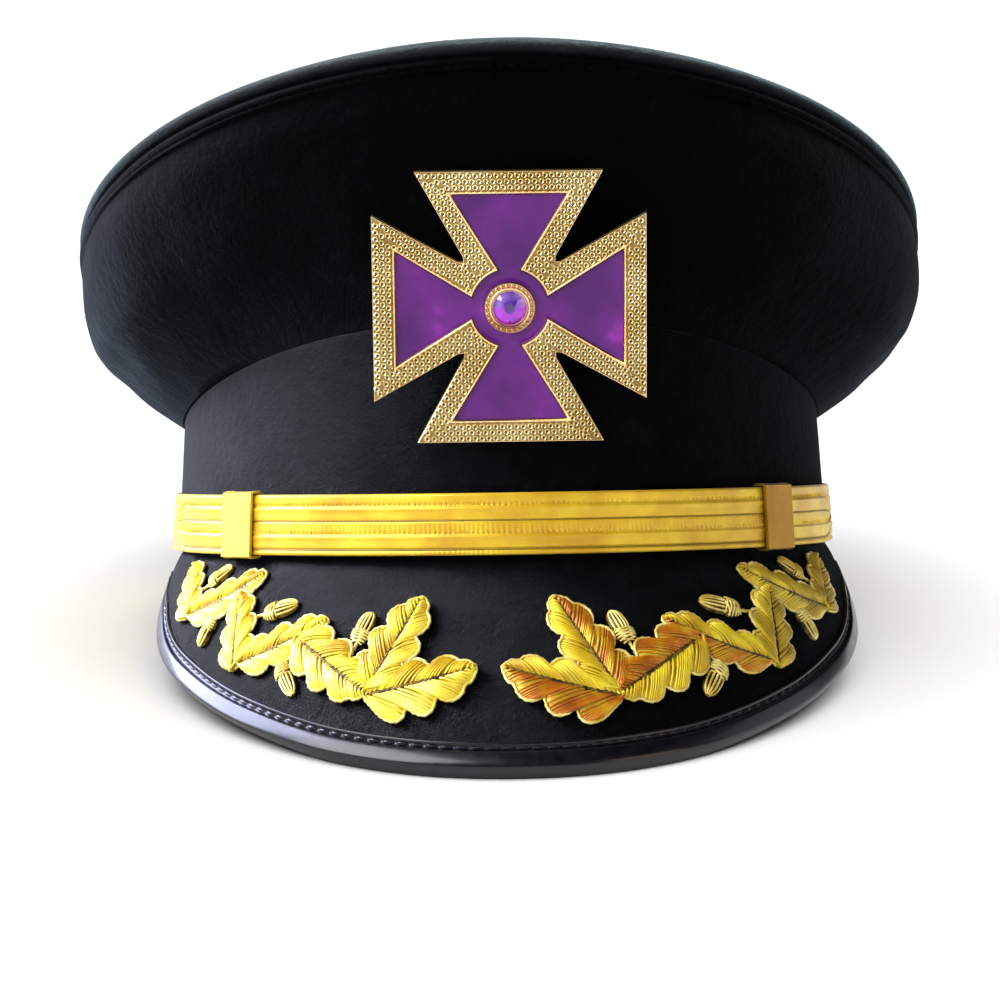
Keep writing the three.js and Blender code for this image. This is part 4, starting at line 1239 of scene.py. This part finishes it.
def distance_to(points, outline):
    """How far points lie inside a clockwise outline, and the side that each lies nearest to."""
    ends = np.roll(outline, -1, 0)
    run = ends - outline
    offset = points[:, None] - outline
    share = np.clip(np.sum(offset * run, -1) / np.sum(run * run, -1), 0, 1)
    away = np.linalg.norm(offset - run * share[..., None], axis=-1)
    crosses = (outline[:, 1] > points[:, None, 1]) != (ends[:, 1] > points[:, None, 1])
    slope = run[:, 0] / np.where(run[:, 1] == 0, 1e-9, run[:, 1])
    left = points[:, None, 0] < outline[:, 0] + slope * (points[:, None, 1] - outline[:, 1])
    inside = np.sum(crosses & left, axis=1) % 2 == 1
    return np.where(inside, 1, -1) * away.min(axis=1), away.argmin(axis=1)


# The pebbles' sizes, how their rows are laid out from the cross's edge, and the room each one needs.
PEBBLE = Sizes(radius=0.82, height=0.62, pit=0.27, small=0.62)
PEBBLE_ROWS = Sizes(pitch=1.64, row=1.4, first=0.98, count=6, least=1.36)


def pebble_places():
    """Rows of pebbles along each straight side of the cross, between its edge and the field."""
    cross, field = cross_outline(), field_outline()
    long_side = np.linalg.norm(np.roll(cross, -1, 0) - cross, axis=-1) > 5
    found = []
    for side in np.flatnonzero(long_side):
        start, end = cross[side], cross[(side + 1) % len(cross)]
        length = np.linalg.norm(end - start)
        ahead = (end - start) / length
        inward = np.array([ahead[1], -ahead[0]])
        for row in range(PEBBLE_ROWS.count):
            at = np.arange(-length, 2 * length, PEBBLE_ROWS.pitch) + (row % 2) * PEBBLE_ROWS.pitch / 2
            deep = PEBBLE_ROWS.first + row * PEBBLE_ROWS.row
            points = start + at[:, None] * ahead + inward * deep
            inside, nearest = distance_to(points, cross)
            clear, _ = distance_to(points, field)
            own = (nearest == side) | (long_side[nearest] == 0)
            found += points[own & (inside > PEBBLE_ROWS.first - 0.05) & (clear < -1.3)].tolist()
    # What room is left in the corners is filled from a fine grid.
    steps = np.arange(-BADGE.reach, BADGE.reach, 0.35)
    grid = np.array([(x, y) for x in steps for y in steps])
    inside, _ = distance_to(grid, cross)
    clear, _ = distance_to(grid, field)
    found += grid[(inside > PEBBLE_ROWS.first - 0.3) & (clear < -1.1)].tolist()
    kept = np.array(found[:1])
    for point in found[1:]:
        if np.hypot(*(kept - point).T).min() > PEBBLE_ROWS.least:
            kept = np.vstack([kept, point])
    # Smaller ones fill the tips, where no whole one fits.
    tips = []
    for point in grid[(inside > 0.56) & (clear < -0.95)]:
        free = np.hypot(*(kept - point).T).min() > 1.16
        if free and all(hypot(*(point - tip)) > 0.96 for tip in tips):
            tips.append(point)
    return kept, np.array(tips)


def bead(radius, height):
    """One of the beads round the cup."""
    q = np.linspace(0, pi / 2, 5)
    return revolved([(radius, -0.3), *zip(radius * np.cos(q), height * np.sin(q))], 12)


def pebble(scale):
    """One stamped pebble: a round bead with a pit in its top."""
    rows = ((1, -0.6), (0.98, 0.1), (0.86, 0.7), (0.68, 1), (0.5, 0.86), (0.36, 0.3), (0, 0.1))
    return revolved([(PEBBLE.radius * scale * wide, PEBBLE.height * high) for wide, high in rows], 12)


def pit():
    """The dark bottom of a pebble's pit, which is painted shade."""
    return revolved([(PEBBLE.pit, 0.05), (PEBBLE.pit, 0.2), (0.2, 0.24), (0, 0.24)], 8)


# The raised rims along the cross's edge and round the field: growth of the outline and height.
EDGE_RIM = ((0, 2.0), (0, 2.3), (-0.08, 2.42), (-0.18, 2.42), (-0.26, 2.3), (-0.28, 2.0))
FIELD_RIM = ((0.85, 2.0), (0.78, 2.5), (0.55, 2.74), (0.3, 2.74), (0.08, 2.5), (0.02, 2.0))
# The cup's collar and the bright ring inside it: radius past CUP_RADIUS and height.
COLLAR = ((0, 1.0), (1.7, 1.0), (1.7, 2.8), (1.55, 3.1), (1.3, 3.1), (1.15, 2.8), (0, 2.75))
CUP_RING = ((0.7, 2.5), (0.62, 3.2), (0.4, 3.45), (0.1, 3.4), (-0.15, 3.0), (-0.2, 2.3), (0.4, 2.2))
BEADS = Sizes(count=26, radius=0.5, height=0.45, ring=1.0, base=2.8)


def make_badge_plate():
    face = BADGE.face
    cross = levels(cross_outline(), ((0, 0), (0, face - 0.1), (-0.1, face)))
    field = levels(field_outline(), ((0.1, face), (0, face - 0.1), (0, BADGE.pocket)))
    plate = shell([cross, field], [[(0, 0)], [(0, -1), (1, 0)], [(1, -1)]])
    rims = [
        swept(np.stack(levels(outline, rows)), ring=True)
        for outline, rows in ((cross_outline(), EDGE_RIM), (field_outline(), FIELD_RIM))
    ]
    places, tips = (np.column_stack([spots, np.full(len(spots), face)]) for spots in pebble_places())
    collar = revolved([(CUP_RADIUS + past, height) for past, height in COLLAR], 64)
    ring = revolved([(CUP_RADIUS + past, height) for past, height in CUP_RING], 64, ring=True)
    turn = 2 * pi * np.arange(BEADS.count) / BEADS.count
    middle = CUP_RADIUS + BEADS.ring
    round_cup = xyz(middle * np.cos(turn), middle * np.sin(turn), BEADS.base)
    back = -POST.length
    pin = revolved(((0, back + 0.5), (1.2, back + 0.5), (POST.radius, back + 0.9), (POST.radius, 0.5)), 24)
    parts = [
        # The plate shows between the pebbles in its darker brass of painted shade.
        (plate, GILT_MATT_PAINTED_SHADE),
        (repeated(pebble(1), places), GILT),
        (repeated(pebble(PEBBLE.small), tips), GILT),
        (repeated(pit(), places), GILT_PIT_PAINTED_SHADE),
        (collar, GILT_ROSE),
        (ring, GILT_BRIGHT),
        (repeated(bead(BEADS.radius, BEADS.height), round_cup), GILT_ROSE),
        (pin, GILT),
        *[(rim, GILT_BRIGHT) for rim in rims],
    ]
    piece(
        "badge_cross_gilt",
        [(on_badge(points), faces, material) for (points, faces), material in parts],
        "gilt",
        "badge_plate",
    )


# The enamel creeps up a little where it meets the metal: its rows in from the field's outline, and
# its rows round the cup.
ENAMEL_EDGE = ((-0.1, 1.25), (-0.1, 2.1), (-0.25, 2.12), (-0.6, 1.98), (-1.1, 1.92))
ENAMEL_HOLE = ((6.2, 1.25), (6.2, 2.1), (6.35, 2.12), (6.7, 1.98), (7.0, 1.92))


def make_badge_enamel():
    outer = levels(field_outline(), ENAMEL_EDGE)
    turn = 2 * pi * np.arange(48) / 48
    hole = [xyz(radius * np.sin(turn), radius * np.cos(turn), height) for radius, height in ENAMEL_HOLE]
    points, faces = shell([outer, hole], [[(0, 0), (1, 0)], [(0, -1), (1, -1)]])
    piece("badge_enamel_violet", [(on_badge(points), faces, ENAMEL)], "enamel", "badge_enamel")


def make_badge_stone():
    """A round cut stone: a table, two rings of facets down to the girdle and a pointed back."""
    def ring(count, radius, height, start):
        turn = start + 2 * pi * np.arange(count) / count
        return xyz(radius * np.cos(turn), radius * np.sin(turn), height)

    corners = np.concatenate([
        ring(8, STONE.table, STONE.table_height, pi / 8),
        ring(8, STONE.crown, STONE.crown_height, 0),
        ring(16, STONE.girdle, STONE.girdle_height, pi / 16),
        ring(16, STONE.girdle, STONE.girdle_height - 0.25, pi / 16),
        ring(8, STONE.table, STONE.back, pi / 8),
    ])
    hull = bmesh.new()
    for corner in corners:
        hull.verts.new(corner)
    bmesh.ops.convex_hull(hull, input=hull.verts)
    hull.verts.index_update()
    points = np.array([vertex.co for vertex in hull.verts])
    faces = [[vertex.index for vertex in face.verts] for face in hull.faces]
    hull.free()
    parts = [(on_badge(points), faces, GLASS_UP_PAINTED_REFLECTION)]
    stone = piece("badge_stone_violet", parts, "stone", "badge_stone", crease=1)
    # Painted reflection: the table is painted darkest, the facets that look down a warmer violet and those
    # that look up a paler one.
    stone.data.materials.append(GLASS_DOWN_PAINTED_REFLECTION)
    stone.data.materials.append(GLASS_TABLE_PAINTED_REFLECTION)
    centre, above, ahead = to_world(on_badge(np.array([(0, 0, 0), (0, 1, 0), (0, 0, 1)])))
    for facet in stone.data.polygons:
        if facet.normal.dot(Vector(unit(ahead - centre))) > 0.98:
            facet.material_index = 2
        elif facet.normal.dot(Vector(unit(above - centre))) < 0.02:
            facet.material_index = 1


make_band()
make_crown_side()
make_crown_top()
make_peak()
make_binding()
make_spray("embroidery_left", -1, "peak_embroidery_left")
make_spray("embroidery_right", 1, "peak_embroidery_right")
make_straps()
make_keeper("keeper_left_loop", -KEEPER.angle, "keeper_left", LACE_SATIN)
make_keeper("keeper_right_loop", KEEPER.angle, "keeper_right", LACE_PAINTED_SHADE)
make_button("button_left_gilt", -BUTTON_ANGLE, "side_button_left")
make_button("button_right_gilt", BUTTON_ANGLE, "side_button_right")
make_badge_plate()
make_badge_enamel()
make_badge_stone()

# The floor, the light and the camera, in metres.

FLOOR_SIZE = 80


def make_floor():
    # Matt white studio board.
    material, tree, place = new_material("white_board_matt")
    fine = add(tree, NOISE, {"Scale": per_mm(300), "Detail": 2.0}, {"Vector": place})
    stops = ((0.3, "#F6F6F6"), (0.7, "#FAFAFA"))
    tint = add(tree, RAMP, {"stops": stops}, {"Fac": fine.outputs["Fac"]})
    matt = {"Roughness": 0.9, "Specular IOR Level": 0.1}
    finish_material(tree, matt, {"Base Color": tint.outputs["Color"]})
    bpy.ops.mesh.primitive_plane_add(size=FLOOR_SIZE)
    floor = bpy.context.object
    floor.name = "studio_floor"
    floor.data.materials.append(material)


# Place, size in metres, power in watts and colour of each softbox.
Softbox = namedtuple("Softbox", "name place size power tint")
SOFTBOXES = (
    Softbox("key_left", (-0.62, -0.38, 0.62), 0.75, 15.5, "#FCFCFF"),
    Softbox("rim_left", (-0.75, 0.35, 0.45), 0.75, 30, "#D6DAFF"),
    Softbox("rim_right", (0.85, 0.1, 0.3), 0.6, 0.9, "#F4F4FF"),
    Softbox("fill_right", (0.9, -0.8, 0.4), 0.6, 2.2, "#FFE0C4"),
)
# Where each distant light shines to, its strength, its spread in degrees, its colour and the pieces
# that alone it falls on. The raking lights are flagged off all but the cloth, whose black needs far
# more light than the gold to show its nap. The floor has a light of its own.
Sunlight = namedtuple("Sunlight", "name ahead energy spread tint falls_on")
CLOTH_PIECES = ("band_cloth", "crown_side_cloth", "crown_top_cloth", "peak_cloth")
SUNLIGHTS = (
    Sunlight("sun_floor", (0.05, -0.1, -1), 4.5, 120, "#FFFFFF", ("studio_floor",)),
    Sunlight("rake_left", (0.8, -0.22, -0.58), 28, 25, "#F4F6FF", CLOTH_PIECES),
    Sunlight("rake_low", (0.8, -0.42, -0.5), 30, 25, "#F4F6FF", ("band_cloth", "peak_cloth")),
    Sunlight("rake_above", (0.1, -0.75, -0.65), 26, 30, "#E0F6EE", CLOTH_PIECES),
    Sunlight("rake_rim", (0.5, 0.35, -0.8), 12, 30, "#E4F6EE", ("crown_top_cloth",)),
    Sunlight("rake_brow", (0.1, 0.75, -0.6), 36, 30, "#E0F6EE", ("crown_top_cloth",)),
    Sunlight("rake_right", (-0.8, -0.28, -0.53), 7, 25, "#F0F6F0", ("crown_side_cloth", "crown_top_cloth")),
)
# The sky's brightness by how far up one looks: pale at the horizon and dim above.
SKY = Sizes(
    stops=((0.0, "#E4E6E8"), (0.06, "#D8DADC"), (0.09, "#505458"), (0.16, "#0F1013"), (0.98, "#131417")),
    strength=1.5,
)


def link_light(data, place, ahead, falls_on):
    light = bpy.data.objects.new(data.name, data)
    light.location = place
    light.rotation_euler = Vector(ahead).to_track_quat("-Z", "Y").to_euler()
    bpy.context.scene.collection.objects.link(light)
    lit = bpy.data.collections.new(data.name)
    for receiver in falls_on:
        lit.objects.link(receiver)
    light.light_linking.receiver_collection = lit


def make_light():
    # The world is dim but for its horizon, so that metal and patent have something dark to reflect.
    world = bpy.data.worlds.new("studio")
    bpy.context.scene.world = world
    world.use_nodes = True
    tree = world.node_tree
    direction = add(tree, "ShaderNodeTexCoord").outputs["Generated"]
    height = add(tree, "ShaderNodeSeparateXYZ", links={"Vector": direction}).outputs["Z"]
    sky = add(tree, RAMP, {"stops": SKY.stops}, {"Fac": height})
    tree.links.new(sky.outputs["Color"], tree.nodes["Background"].inputs["Color"])
    tree.nodes["Background"].inputs["Strength"].default_value = SKY.strength
    for box in SOFTBOXES:
        data = bpy.data.lights.new(box.name, "AREA")
        data.size = box.size
        data.energy = box.power
        data.color = colour(box.tint)[:3]
        link_light(data, box.place, Vector((0, 0, 0.08)) - Vector(box.place), PIECES)
    for sun in SUNLIGHTS:
        data = bpy.data.lights.new(sun.name, "SUN")
        data.energy = sun.energy
        data.angle = radians(sun.spread)
        data.color = colour(sun.tint)[:3]
        link_light(data, (0, 0, 1), sun.ahead, [bpy.data.objects[name] for name in sun.falls_on])


# The camera stands level with the band's foot, 900 mm in front of the cap's middle and a little to
# the left, so that what is near moves a little to the right.
CAMERA = Sizes(away=900, left=20, high=25, down=12.98, roll=-0.6, lens=119.16, sensor=36)


def make_camera():
    data = bpy.data.cameras.new("view_of_photo")
    data.lens = CAMERA.lens
    data.sensor_width = CAMERA.sensor
    camera = bpy.data.objects.new("view_of_photo", data)
    camera.location = to_world(xyz(-CAMERA.left, -CAMERA.away, CAMERA.high))
    heading = Matrix.Rotation(-atan2(CAMERA.left, CAMERA.away), 3, "Z")
    pitch = Matrix.Rotation(radians(90 - CAMERA.down), 3, "X")
    roll = Matrix.Rotation(radians(CAMERA.roll), 3, "Z")
    camera.rotation_euler = (heading @ pitch @ roll).to_euler()
    bpy.context.scene.collection.objects.link(camera)
    bpy.context.scene.camera = camera
    bpy.context.scene.view_settings.view_transform = "Standard"


make_floor()
make_light()
make_camera()
